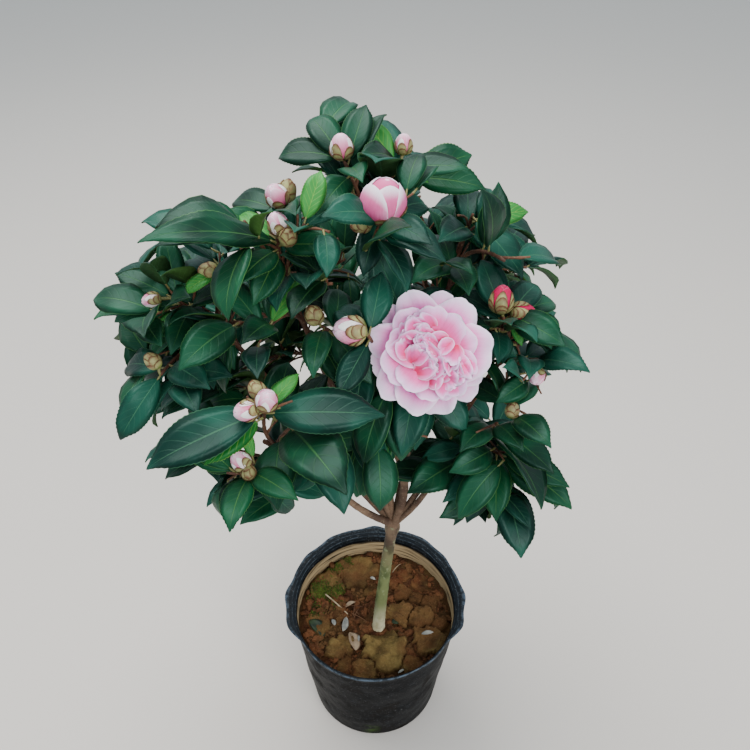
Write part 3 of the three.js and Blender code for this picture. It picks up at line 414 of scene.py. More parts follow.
# %% Shoots that show
SHOOTS = [
    ("trio", "lower_left", (-75, -135, 600), [
        (252, 90, 0), (100, 85, 15), (45, 40, -15, YOUNG), (240, 55, 15, YOUNG)]),
    ("broad", "lower_left", (-60, -120, 570), [(150, 90, 50), (10, 55, -50)]),
    ("low_pair", "lower_left", (-90, -150, 550), [
        (212, 52, 35), (135, 55, 45), (290, 55, -45), (130, 20, 25, YOUNG), (350, 30, -15, YOUNG)]),
    ("green_bud", "left", (-160, -85, 590), [(222, 62, 0), (285, 55, -55), (135, 55, 50)]),
    ("red_tip", "left", (-155, -35, 625), [
        (305, 55, -25), (0, 55, -15), (262, 58, 5), (230, 35, 15, YOUNG), (80, 55, 40), (210, 55, 45)]),
    ("cream", "left", (-115, -35, 650), [(245, 35, 15, YOUNG), (305, 55, -50), (20, 55, -60)]),
    ("big_left", "left", (-100, -60, 620), [(240, 65, 30)]),
    ("tuft", "upper_left", (-80, -80, 625), [
        (325, 55, -15), (45, 50, -15, YOUNG), (30, 55, -50), (230, 55, 65)]),
    ("crown_pair", "upper_left", (-70, -40, 680), [
        (295, 45, -15, YOUNG), (277, 109, 33), (100, 55, 30), (235, 55, 45), (205, 55, 45)]),
    ("bright", "upper_left", (-50, -40, 690), [(25, 45, -15, YOUNG), (60, 55, -30), (150, 55, 70)]),
    ("ul_pair", "upper_left", (-70, -5, 685), [
        (285, 55, -45), (90, 55, 65), (225, 55, 70), (330, 55, -65)]),
    ("top_bud", "top", (-25, 20, 715), [
        (274, 56, -20), (320, 55, -35), (15, 55, -25), (135, 55, 65), (220, 55, 45)]),
    ("half_open", "top", (5, -40, 695), [(270, 55, 40), (120, 55, 45), (75, 55, -45), (195, 55, 55)]),
    ("pointed", "top", (20, 35, 705), [
        (280, 55, 40), (320, 50, -15, YOUNG), (85, 60, 15), (100, 30, 15, YOUNG), (200, 55, 55)]),
    ("ur_leaf", "top", (30, 40, 690), [(96, 62, 15), (70, 60, -15)]),
    ("ur_tip", "upper_right", (75, 5, 675), [
        (135, 65, 20), (85, 35, 15, YOUNG), (75, 50, -15, YOUNG), (235, 55, 65), (355, 55, -50),
        (110, 60, 15)]),
    ("ur_inner", "upper_right", (60, -10, 640), [(245, 55, 50), (135, 55, 60), (340, 55, -55)]),
    ("crimson", "right", (95, -60, 625), [(330, 55, -25), (35, 55, -45), (295, 55, -50), (5, 55, -30)]),
    ("crimson_side", "right", (100, -55, 625), [
        (118, 55, 30), (150, 25, 15, YOUNG), (60, 50, -40), (100, 55, 60), (225, 55, 55)]),
    ("white_pink", "right", (120, -70, 590), [(90, 55, 35), (160, 55, 75), (285, 55, -35), (65, 55, -65)]),
    ("pale_green", "right", (105, -100, 560), [
        (125, 52, 45), (20, 60, -60), (335, 55, -55), (285, 55, -60)]),
    ("lr_upper", "lower_right", (95, -90, 545), [(130, 55, 60), (120, 60, 15), (230, 55, 60)]),
    ("lr_tip", "lower_right", (100, -95, 515), [
        (106, 62, 15), (172, 58, 20), (117, 78, 10), (290, 55, -50)]),
    ("lr_low", "lower_right", (105, -90, 480), [(154, 72, 15), (230, 65, 40), (285, 55, -55)]),
    ("lr_inner", "lower_right", (75, -75, 490), [(225, 68, 35), (125, 55, 70), (325, 55, -55)]),
    ("flower_foot", "middle", (40, -75, 585), [(145, 60, 15), (190, 70, 15), (175, 65, 15)]),
    ("flower_top", "middle", (25, -50, 615), [(330, 65, -15), (50, 55, -30), (355, 55, -40)]),
    ("flower_left", "middle", (0, -65, 550), [
        (295, 55, -65), (190, 85, 15), (175, 65, 15), (335, 55, -40)]),
    ("large_pink", "middle", (-5, -90, 630), [(25, 55, -15), (200, 55, 40), (310, 55, -50)]),
    ("small_bud", "middle", (-40, -65, 620), [(200, 55, 45), (145, 55, 20), (15, 55, -50)]),
]
print(len(SHOOTS), "named shoots with", sum(len(row[3]) for row in SHOOTS), "leading leaves")

# %% [markdown]
# A row of BLOOMS is the shoot that bears it, its kind, its middle, the bearing and lean that it
# faces, and its width. GAPS are open places through which the ground shows: a point on the line of
# sight and a radius round it.

# %% Blooms and open places
BLOOMS = [
    ("flower_foot", "open_flower", (39, -98, 620), (0, 90), 87),
    ("half_open", "half_open", (6, -38, 708), (10, 25), 30),
    ("half_open", "green", (-10, -45, 693), (260, 10), 12),
    ("top_bud", "pink", (-25, 21, 722), (355, 20), 16),
    ("pointed", "pink", (22, 40, 716), (0, 10), 13),
    ("ul_pair", "pink", (-73, -4, 695), (330, 40), 16),
    ("ul_pair", "green", (-66, 4, 695), (20, 20), 14),
    ("crown_pair", "pink", (-69, -39, 691), (345, 30), 14),
    ("crown_pair", "green", (-61, -48, 685), (30, 60), 12),
    ("cream", "green", (-124, -38, 651), (280, 10), 12),
    ("red_tip", "pink", (-170, -42, 627), (268, 10), 12),
    ("green_bud", "green", (-165, -81, 600), (325, 15), 11),
    ("small_bud", "green", (-45, -65, 630), (330, 40), 13),
    ("large_pink", "pink", (-18, -91, 635), (275, 5), 19),
    ("trio", "green", (-80, -132, 616), (330, 20), 11),
    ("trio", "pink", (-72, -143, 616), (10, 60), 14),
    ("trio", "pink", (-87, -143, 606), (262, 20), 14),
    ("low_pair", "pink", (-95, -147, 562), (320, 30), 13),
    ("low_pair", "green", (-89, -154, 557), (200, 60), 10),
    ("crimson", "crimson", (93, -56, 638), (3, 15), 16),
    ("crimson_side", "crimson", (110, -59, 628), (92, 5), 14),
    ("white_pink", "pink", (121, -84, 587), (190, 50), 12),
    ("pale_green", "green", (103, -100, 568), (5, 20), 10),
]
GAPS = [
    ((47, -51, 410), 16), ((58, -87, 367), 18), ((-144, -144, 517), 20), ((-64, -154, 473), 14),
    ((-107, 18, 713), 26), ((150, 21, 654), 18), ((-84, -118, 549), 10), ((50, 40, 676), 11),
    ((29, 9, 639), 6), ((-100, -38, 582), 5), ((-50, -124, 479), 10), ((159, -65, 549), 16),
    ((139, -72, 542), 11), ((-217, -46, 573), 13), ((-220, -1, 627), 9), ((30, 77, 722), 12),
    ((58, 74, 718), 12), ((-158, 44, 681), 13), ((111, 44, 681), 9), ((-130, -132, 469), 12),
    ((-95, -136, 464), 12), ((-71, -132, 469), 9), ((81, -137, 463), 12), ((161, -33, 589), 9),
    ((158, -20, 604), 9), ((70, -136, 464), 9), ((39, 68, 710), 8), ((-193, 11, 642), 11),
    ((-138, -110, 495), 8),
]
print(len(BLOOMS), "blooms and", len(GAPS), "open places")

# %% [markdown]
# ## Curves, directions and distances
# A few small sums place everything that grows: a point and a heading on a limb's curve, a direction
# as seen from the front, distances to stretches of twig, and whether a stretch goes through a face.

# %% Curves and directions
def along(path, t):
    """A point of a limb's curve: its start, bend and end, weighted by the shares (1 - t) squared,
    2 t (1 - t) and t squared."""
    t = np.asarray(t, float)[..., None]
    return path[0] * (1 - t) ** 2 + path[1] * (2 * t * (1 - t)) + path[2] * t * t


def heading_of(path, t):
    """The way in which a limb's curve runs at the share t."""
    t = np.asarray(t, float)[..., None]
    return unit((path[1] - path[0]) * (1 - t) + (path[2] - path[1]) * t)


def sideways(heading):
    """Two directions square to a heading and to each other."""
    across = unit(cross(heading, np.array([1.0, 0, 0]) if abs(heading[2]) > 0.95 else UP))
    return across, cross(heading, across)


def seen_direction(place, bearing, lean):
    """The direction that shows at a bearing and a lean from the front point, in degrees."""
    toward = unit(FRONT_POINT - place)
    right = unit(cross(UP, toward))
    up = cross(toward, right)
    turn, tip = math.radians(bearing), math.radians(lean)
    return (up * math.cos(turn) + right * math.sin(turn)) * math.cos(tip) + toward * math.sin(tip)


def seeded_numbers(seed):
    """Numbers that look random but are the same each run: each state is the last one times a large
    number, plus another, with all above 32 bits dropped."""
    state = [seed]

    def draw(low, high):
        """The next number, between low and high."""
        state[0] = (state[0] * 1664525 + 1013904223) % 2 ** 32
        return low + (high - low) * (state[0] / 2 ** 32)
    return draw


# %% Distances and crossings
def stretches(points):
    """The straight stretches between neighbouring points."""
    return np.stack([points[:-1], points[1:]], 1)


def limb_stretches(path, count):
    """A limb's curve as the straight stretches between evenly spaced points of it."""
    return stretches(along(path, np.linspace(0, 1, count)))


def distances(points, lines):
    """How far each point is from each straight stretch, as a table."""
    a, way = lines[None, :, 0], lines[None, :, 1] - lines[None, :, 0]
    from_a = points[:, None] - a
    t = np.clip((from_a * way).sum(-1) / (way * way).sum(-1), 0, 1)
    return np.sqrt(((from_a - way * t[..., None]) ** 2).sum(-1))


def nears(points, lines, reach):
    """Whether any point lies within reach of a stretch, of a limb or of a line of sight."""
    return (distances(points, lines) < reach).any()


def pierces(lines, faces):
    """Whether any stretch goes through any triangle: where the two meet, the shares along the
    triangle's two edges and along the stretch all lie between 0 and 1."""
    if not len(lines) or not len(faces):
        return False
    p, way = lines[:, None, 0], lines[:, None, 1] - lines[:, None, 0]
    a = faces[None, :, 0]
    e1, e2 = faces[None, :, 1] - a, faces[None, :, 2] - a
    h = cross(way, e2)
    size = (e1 * h).sum(-1)
    flat = np.abs(size) < 1e-9
    size = np.where(flat, 1.0, size)
    s = p - a
    u = (s * h).sum(-1) / size
    k = cross(s, e1)
    v, t = (way * k).sum(-1) / size, (e2 * k).sum(-1) / size
    return bool((~flat & (u >= 0) & (v >= 0) & (u + v <= 1) & (t >= 0) & (t <= 1)).any())


print("directions square to up:", sideways(UP))

# %% [markdown]
# ## Boughs and stems
# Each bough runs a share of the way from the fork to its mass's heart, and the stem goes on from its
# end. Seeded shoots go where the crown's outer part is still bare: thirty places are drawn, those
# that lie nearer to another mass's heart are dropped, and the one farthest from all tips is taken.

# %% Limbs and lines of sight
LIMB_POINTS = 7
LIMB_MARGIN = 1.5


class Mass:
    """A mass of foliage: its heart, the bough that carries it and all that grows in it."""

    def __init__(self, name, heart, share, bow, seeded, seed):
        self.name, self.seeded, self.draw = name, seeded, seeded_numbers(seed)
        self.heart = np.array(heart, float)
        way = self.heart - FORK
        self.bough = (FORK, FORK + way * (share / 2) + np.array(bow, float), FORK + way * share)
        self.radii = BOUGH_RADII.get(name, OTHER_BOUGH_RADII)
        self.leaves, self.side_twigs = [], []

    def owner(self, number):
        """The number that tells a stretch of wood, and the leaves on it, from all others: 0 for the
        stem, then the shoots, and from SIDE_OWNERS on the side twigs."""
        return 100 * masses.index(self) + number


masses = [Mass(*row) for row in MASSES]
limbs = [TRUNK] + [mass.bough for mass in masses]
limb_lines = np.concatenate([limb_stretches(limb, LIMB_POINTS) for limb in limbs])
limb_reach = np.repeat([TRUNK_RADII[0]] + [mass.radii[0] for mass in masses], LIMB_POINTS - 1) + LIMB_MARGIN


def sight_of(place, near):
    """The line of sight through a place, from a little in front of it."""
    toward = unit(FRONT_POINT - place)
    return np.stack([place + toward * near, place + toward * SIGHT_LENGTH])


bloom_centres = np.array([row[2] for row in BLOOMS], float)
bloom_widths = np.array([row[4] for row in BLOOMS], float)
bloom_open = np.array([row[1] == "open_flower" for row in BLOOMS])
sight_starts = np.where(bloom_open, -4, bloom_widths * 0.4)
bloom_sights = np.array([sight_of(place, near) for place, near in zip(bloom_centres, sight_starts)])
sight_radii = bloom_widths * np.where(bloom_open, 0.47, 0.42)
body_radii = bloom_widths * np.where(bloom_open, 0.33, 0.55)
gap_sights = np.array([sight_of(np.array(place, float), -SIGHT_LENGTH) for place, radius in GAPS])
gap_radii = np.array([radius for place, radius in GAPS], float)
print(len(limb_lines), "stretches of limb")

# %% Stems and shoots
PLACES_TRIED = 30
SHOOT_SHELL = (0.45, 0.86)
TWIG_STATIONS = 0.15 + 0.85 * np.arange(9) / 8
TWIG_POINTS = 5
all_tips = [np.array(row[2], float) for row in SHOOTS]


def bare_place(mass):
    """The best of thirty seeded places for one more shoot, or None."""
    best, widest = None, -1.0
    for _ in range(PLACES_TRIED):
        height, turn, share = mass.draw(-1, 1), mass.draw(0, FULL_TURN), mass.draw(*SHOOT_SHELL)
        level = math.sqrt(1 - height * height)
        way = np.array([level * math.cos(turn), level * math.sin(turn), height])
        place = way * CROWN_RADII * share + CROWN_CENTRE
        own = math.dist(place, mass.heart)
        if place[2] < LOWEST_TIP or own > MASS_REACH or nears(place[None], gap_sights, gap_radii):
            continue
        if any(other is not mass and math.dist(place, other.heart) < own for other in masses):
            continue
        room = min(math.dist(place, tip) for tip in all_tips)
        if room > widest:
            best, widest = place, room
    return best


def twig_to(mass, tip):
    """A shoot's curve: it leaves the stem a little before the point nearest to its tip, runs on along
    the stem for about a third of its length, and sags a little."""
    nearest = int(np.argmin(((along(mass.stem, TWIG_STATIONS) - tip) ** 2).sum(-1)))
    t = TWIG_STATIONS[max(0, nearest - 2)]
    root = along(mass.stem, t)
    length = math.dist(root, tip)
    bend = (root + heading_of(mass.stem, t) * (length * 0.35)
            + unit(tip - root) * (length * 0.15) - UP * (length * 0.06))
    return (root, bend, tip)


def branch_out(mass):
    """The stem, the shoots and the space of one mass. Its space is all that lies nearer to its
    anchors, on its shoots and leading leaves, than to those of any other mass."""
    heading = heading_of(mass.bough, 1)
    start = mass.bough[2] + heading * CLEARANCE
    mass.stem = (start, start + heading * (math.dist(mass.heart, start) * 0.45), mass.heart)
    rows = [row for row in SHOOTS if row[1] == mass.name]
    mass.names = [row[0] for row in rows]
    mass.leading = [row[3] for row in rows]
    tips = [np.array(row[2], float) for row in rows]
    for _ in range(mass.seeded):
        place = bare_place(mass)
        if place is not None:
            all_tips.append(place)
            tips.append(place)
    mass.twigs = [twig_to(mass, tip) for tip in tips]
    mass.wood = [limb_stretches(mass.stem, LIMB_POINTS)]
    mass.wood += [limb_stretches(twig, TWIG_POINTS) for twig in mass.twigs]
    anchors = [mass.heart, along(mass.stem, 0.5)]
    for i, tip in enumerate(tips):
        anchors += [tip, along(mass.twigs[i], 0.6)]
        for bearing, length, lean, *_ in (mass.leading[i] if i < len(rows) else []):
            way = seen_direction(tip, bearing, lean)
            anchors += [tip + way * (length * share) for share in (0.5, 0.95)]
    mass.anchors = np.array(anchors)


for mass in masses:
    branch_out(mass)
wood_lines = np.concatenate([part for mass in masses for part in mass.wood])
wood_owner = np.concatenate([np.full(len(part), mass.owner(i)) for mass in masses
                             for i, part in enumerate(mass.wood)])
for mass in masses:
    mass.others = np.concatenate([other.anchors for other in masses if other is not mass])
print(sum(len(mass.twigs) for mass in masses), "shoots")

# %% [markdown]
# ## Leaves find their places
# A leaf is tried as a few points: its midrib and both edges at four stations, with the tip in common.
# It may not touch a limb, pass through wood or another leaf, or hide a bloom or a gap. Seeded leaves
# also stay in the crown and in their own mass's space. A leaf that doesn't fit is turned a little and
# tried again.

# %% A leaf's test shape
PETIOLE = 6.0
STATIONS = np.array([0.0, 0.3, 0.72, 1.0])
BREADTHS = np.array([0.25, 0.92, 0.74, 0.0])
# The points are numbered 0 to 3 along the midrib, 4 to 7 along the left edge and 8 to 11 on the right.
TEST_FACES = np.array([(i, e + i, e + i + 1) for i in range(3) for e in (4, 8)]
                      + [(i, e + i + 1, i + 1) for i in range(2) for e in (4, 8)])
TEST_EDGES = np.array([(e + i, e + i + 1) for i in range(3) for e in (0, 4, 8)]
                      + [(e + i, i) for i in (1, 2) for e in (4, 8)])
TEST_POINTS = np.array([0, 1, 2, 3, 5, 6, 9, 10])


def leaf_frame(leaf):
    """A leaf's base and its three directions: heading, top and across."""
    heading, top_side = leaf["heading"], leaf["top_side"]
    level = unit(top_side - heading * (top_side @ heading))
    top = level * math.cos(leaf["roll"]) + cross(heading, level) * math.sin(leaf["roll"])
    return leaf["root"] + heading * PETIOLE, heading, top, cross(heading, top)


def leaf_lines(leaf):
    """The midrib, then the left and the right edge: the leaf rises from its heading and droops in an
    arc, and both halves are lifted by the fold at the midrib."""
    base, heading, top, across = leaf_frame(leaf)
    turn = leaf["rise"] + leaf["droop"]
    angle = leaf["rise"] - turn * STATIONS
    forward = (math.sin(leaf["rise"]) - np.sin(angle)) / turn * leaf["length"]
    upward = (np.cos(angle) - math.cos(leaf["rise"])) / turn * leaf["length"]
    normal = top * np.cos(angle)[:, None] - heading * np.sin(angle)[:, None]
    middle = base + heading * forward[:, None] + top * upward[:, None]
    half = (leaf["width"] / 2 * BREADTHS)[:, None]
    lift = normal * (half * math.sin(leaf["fold"]))
    out = across * (half * math.cos(leaf["fold"]))
    return np.concatenate([middle, middle - out + lift, middle + out + lift])


class Grown:
    """All leaves so far, as arrays that are searched at once, with room for more than will grow."""
    room, count = 2000, 0
    centres, radii = np.zeros((room, 3)), np.zeros(room)
    faces, edges = np.zeros((room, len(TEST_FACES), 3, 3)), np.zeros((room, len(TEST_EDGES), 2, 3))


# %% The tests
SPACE_MARGIN = 3.0
LEAF_REACH = 0.75


def keeps_to_space(mass, points):
    """Whether all points lie in the crown, an ellipsoid with a flat bottom, and nearer to an anchor
    of this mass than to any other by a margin."""
    if (points[:, 2] < LOWEST_LEAF).any():
        return False
    if ((((points - CROWN_CENTRE) / CROWN_RADII) ** 2).sum(-1) > 1).any():
        return False
    own = ((points[:, None] - mass.anchors) ** 2).sum(-1).min(1)
    other = ((points[:, None] - mass.others) ** 2).sum(-1).min(1)
    return bool((np.sqrt(other) - np.sqrt(own) > SPACE_MARGIN).all())


def leaves_views_open(points, faces, leading):
    """Blooms stand free, and nothing hides them or the gaps from the front point."""
    tested = points[2:] if leading else points
    if nears(tested, bloom_sights, sight_radii) or pierces(bloom_sights, faces):
        return False
    if (((tested[:, None] - bloom_centres) ** 2).sum(-1) < body_radii ** 2).any():
        return False
    return leading or not (nears(points, gap_sights, gap_radii) or pierces(gap_sights, faces))


def leaves_near(centre, reach):
    """The numbers of the grown leaves whose reach meets the reach round a place."""
    far = np.sqrt(((Grown.centres[:Grown.count] - centre) ** 2).sum(-1))
    return np.flatnonzero(far < Grown.radii[:Grown.count] + reach)


def clear_of_leaves(edges, faces, centre, radius):
    """Whether a leaf's edges go through no grown leaf, and none of theirs through this one."""
    near = leaves_near(centre, radius)
    return not (pierces(edges, Grown.faces[near].reshape(-1, 3, 3))
                or pierces(Grown.edges[near].reshape(-1, 2, 3), faces))


def try_leaf(mass, owner, leaf, leading):
    """Adds the leaf to its mass if it fits. owner is the number of its own stretch of wood."""
    lines = leaf_lines(leaf)
    points, faces, edges = lines[TEST_POINTS], lines[TEST_FACES], lines[TEST_EDGES]
    if not (leading or keeps_to_space(mass, points)):
        return False
    if pierces(limb_lines, faces) or nears(points, limb_lines, limb_reach):
        return False
    if pierces(wood_lines[wood_owner != owner], faces):
        return False
    if not leaves_views_open(points, faces, leading):
        return False
    centre, radius, n = points.mean(0), leaf["length"] * LEAF_REACH, Grown.count
    if not clear_of_leaves(edges, faces, centre, radius):
        return False
    Grown.centres[n], Grown.radii[n], Grown.faces[n], Grown.edges[n] = centre, radius, faces, edges
    Grown.count += 1
    mass.leaves.append({**leaf, "owner": owner, "leading": leading})
    return True


# %% Leading leaves
# Turns in bearing and lean, in degrees, that a leading leaf is tried with one after the other.
LEADING_TURNS = [(0, 0), (6, 0), (-6, 0), (0, 12), (0, -12), (12, 0), (-12, 0), (8, 20), (-8, 20),
                 (8, -20), (-8, -20), (0, 32), (0, -32), (16, 30), (-16, 30), (16, -30), (-16, -30),
                 (24, 10), (-24, 10), (24, -15), (-24, -15), (0, 45), (0, -45)]
LEADING_FORM = {"rise": (0.05, 0.3), "droop": (0.3, 0.8), "fold": (0.1, 0.28), "roll": (-0.25, 0.25),
                "slimness": (0.42, 0.52)}
TIP_DISTANCE, LEAF_STEP = 2, 3


def drawn_form(draw, limits):
    """A leaf's angles and its width as a share of its length, each drawn between two limits."""
    return {key: draw(*pair) for key, pair in limits.items()}


def leaf_row(root, heading, top_side, size, form, age=""):
    """All that tells where a leaf is and what form it has."""
    return {"root": root, "heading": heading, "top_side": top_side, "length": size,
            "width": size * form["slimness"], "age": age, **form}


def grow_leading(mass, number, place, bearing, length, lean, age):
    """One leading leaf: the straight line from its root to its tip has its own bearing and lean."""
    twig = mass.twigs[number]
    root = along(twig, 1 - min(0.3, (LEAF_STEP * place + TIP_DISTANCE) / math.dist(twig[0], twig[2])))
    form = drawn_form(mass.draw, LEADING_FORM)
    top_side = UP * 0.6 + unit(FRONT_POINT - root) * 0.6
    sag = (form["droop"] - form["rise"]) / 2
    for n, (turn, tip) in enumerate(LEADING_TURNS):
        size = length * (1 - 0.01 * n) - PETIOLE
        chord = seen_direction(root, bearing + turn, lean + tip)
        upper = unit(top_side - chord * (top_side @ chord))
        heading = chord * math.cos(sag) + upper * math.sin(sag)
        if try_leaf(mass, mass.owner(number + 1), leaf_row(root, heading, top_side, size, form, age), True):
            return


for mass in masses:
    for number, rows in enumerate(mass.leading):
        for place, (bearing, length, lean, *age) in enumerate(rows):
            grow_leading(mass, number, place, bearing, length, lean, YOUNG if age else "")
print("leading leaves:", Grown.count)

# %% Seeded leaves
# Turns round the twig, in radians, that a seeded leaf is tried with one after the other.
SEEDED_TURNS = (0, 0.5, -0.5, 1, -1, 1.5, -1.5, 2.1, -2.1)
SEEDED_FORM = {"rise": (0.05, 0.35), "droop": (0.35, 0.95), "fold": (0.1, 0.3), "roll": (-0.35, 0.35),
               "slimness": (0.47, 0.56)}
LEAF_LENGTHS = (55.0, 80.0)
LEAF_SPACING = 9.0
LEAST_LEAVES, MOST_LEAVES = 3, 8
TWIG_PER_LEAF = 14
TOP_LEAF = 0.98


def grow_leaf(mass, owner, draw, twig, t, around, back, lengths):
    """One seeded leaf, which springs from a twig at the share t and at a turn round it. Where it
    doesn't fit, it is turned farther each time, and is a little shorter."""
    root, axis = along(twig, t), heading_of(twig, t)
    a, b = sideways(axis)
    length, angle = draw(*lengths), draw(0.75, 1.2) + 0.3 * back
    form = drawn_form(draw, SEEDED_FORM)
    outward = unit(root - AXIS_FOOT)
    for n, extra in enumerate(SEEDED_TURNS):
        turn = around + extra
        heading = unit(axis * math.cos(angle) + a * (math.cos(turn) * math.sin(angle))
                       + b * (math.sin(turn) * math.sin(angle)) + UP * 0.1)
        top_side = UP * 0.8 + outward * 0.6
        if abs(unit(top_side) @ heading) > 0.93:
            top_side = top_side + unit(FRONT_POINT - root) * 0.6
        if try_leaf(mass, owner, leaf_row(root, heading, top_side, length * (1 - 0.04 * n), form), False):
            return


def grow_seeded(mass, number):
    """The seeded leaves of one shoot, in a spiral down from its tip: one on a named shoot."""
    twig, named = mass.twigs[number], number < len(mass.leading)
    length = math.dist(twig[0], twig[2])
    count = 1 if named else min(MOST_LEAVES, LEAST_LEAVES + int(length // TWIG_PER_LEAF))
    phase = mass.draw(0, FULL_TURN)
    for i in range(count):
        spread = min(0.8, LEAF_SPACING * (count + 1) / length)
        back = (count - 1 - i + (1 if named else 0)) / count * spread
        grow_leaf(mass, mass.owner(number + 1), mass.draw, twig, max(0.1, TOP_LEAF - back),
                  phase + i * GOLDEN_ANGLE, back, LEAF_LENGTHS)


for mass in masses:
    for number in range(len(mass.twigs)):
        grow_seeded(mass, number)
print("leaves that the solids have too:", Grown.count)

# %% [markdown]
# ## Finer twigs
# The solids stop at the shoots. The real shrub goes on to side twigs of a few centimetres, each with
# a tuft of smaller leaves that close the crown. They grow by the same rule: a side twig leaves its
# shoot in a spiral, stays in its mass's space and passes through nothing, and its leaves are tried
# as before. The tests keep the open places open.

# %% Side twigs and their leaves
SIDE_TWIGS = 6
SIDE_LEAVES = 4
SIDE_POINTS = 4
SIDE_OWNERS = 50
SIDE_LENGTHS = (14.0, 44.0)
SIDE_LEAF_LENGTHS = (44.0, 70.0)
FIRST_SIDE, SIDE_STEP, SIDE_PHASE = 0.92, 0.14, 1.3
side_numbers = seeded_numbers(34)


def side_twig(mass, twig, t, around):
    """A side twig's curve, or None where it would touch something."""
    root, axis = along(twig, t), heading_of(twig, t)
    a, b = sideways(axis)
    way = unit(axis * 0.7 + a * math.cos(around) + b * math.sin(around) + UP * 0.25)
    length = side_numbers(*SIDE_LENGTHS)
    tip = root + way * length
    path = (root, root + unit(way + axis * 0.8) * (length * 0.5), tip)
    points = along(path, np.linspace(0.15, 1, SIDE_POINTS))
    if not keeps_to_space(mass, points) or nears(points, limb_lines, limb_reach):
        return None
    if nears(points, gap_sights, gap_radii) or nears(points, bloom_sights, sight_radii):
        return None
    near = Grown.faces[leaves_near(tip, length)]
    return None if pierces(stretches(points), near.reshape(-1, 3, 3)) else path


for mass in masses:
    for twig in mass.twigs:
        phase = side_numbers(0, FULL_TURN)
        for i in range(SIDE_TWIGS):
            side = side_twig(mass, twig, FIRST_SIDE - SIDE_STEP * i, phase + SIDE_PHASE + i * GOLDEN_ANGLE)
            if side is None:
                continue
            owner = mass.owner(SIDE_OWNERS + len(mass.side_twigs))
            wood_lines = np.concatenate([wood_lines, limb_stretches(side, SIDE_POINTS)])
            wood_owner = np.concatenate([wood_owner, np.full(SIDE_POINTS - 1, owner)])
            mass.side_twigs.append(side)
            for k in range(SIDE_LEAVES):
                back = 0.5 * (SIDE_LEAVES - 1 - k) / (SIDE_LEAVES - 1)
                grow_leaf(mass, owner, side_numbers, side, TOP_LEAF - back, phase + k * GOLDEN_ANGLE, back,
                          SIDE_LEAF_LENGTHS)
print("side twigs:", sum(len(mass.side_twigs) for mass in masses), "leaves in all:", Grown.count)

# %% [markdown]
# ## Leaf blades
# A camellia leaf is leathery and glossy, with a finely toothed edge and a tip that bends down to
# shed rain. One leaf is a flattened tube of rings with six points: five across the upper side and one
# under the midrib. Ten uneven steps are enough for the leaves inside the crown, which are repeated
# hundreds of times. The leading leaves, which show best, have forty, enough for their teeth. All
# leaves of a kind are worked out together. On the map that leaves and petals use, the upper side
# fills the lower half, 0.25 in its middle, and the underside the upper half.

# %% Sizes of a blade
UPPER_MIDDLE, HALF_SIDE = 0.25, 0.24
ACROSS = np.array([-1.0, -0.55, 0.0, 0.55, 1.0])
LEAF_ROUND = np.concatenate([UPPER_MIDDLE + HALF_SIDE * ACROSS, [0.75], [0.51]])
PLAIN_STEPS = np.array([0, 0.05, 0.14, 0.27, 0.41, 0.55, 0.68, 0.8, 0.9, 0.97, 1.0])
TOOTHED_STEPS = np.linspace(0, 1, 41)
BLADE_DEPTH = 1.0
SLIM_LENGTHS = (92.0, 102.0)
SLIMMER = 0.4
YOUNG_SLIMMER = 0.16
TEETH_DEPTH = 0.5
EDGE_WAVES = 1.6
print(len(PLAIN_STEPS), "and", len(TOOTHED_STEPS), "rings along a blade")

# %% The shape of a blade
def leaf_outline(u):
    """Half a leaf's width as a share: a sine arch that is widest a little below the middle, drawn
    out into a drip tip."""
    arch = np.sin(math.pi * np.clip(u, 0, 1) ** 0.88) ** 0.8
    return arch * (1 - 0.45 * smooth_step(0.74, 0.98, u)) + 0.012


def leaf_values(leaves, *keys):
    """One value of every leaf as a column, for each key."""
    return [np.array([leaf[key] for leaf in leaves], float)[:, None] for key in keys]


def half_widths(leaves, u, length, width):
    """Half the blade's width at the shares u. The longest leaf is slimmer than its length would
    make it, and so are the young ones."""
    young = np.array([leaf.get("age") == YOUNG for leaf in leaves], float)[:, None]
    slim = (1 - SLIMMER * smooth_step(*SLIM_LENGTHS, length)) * (1 - YOUNG_SLIMMER * young)
    return width / 2 * leaf_outline(u) * slim


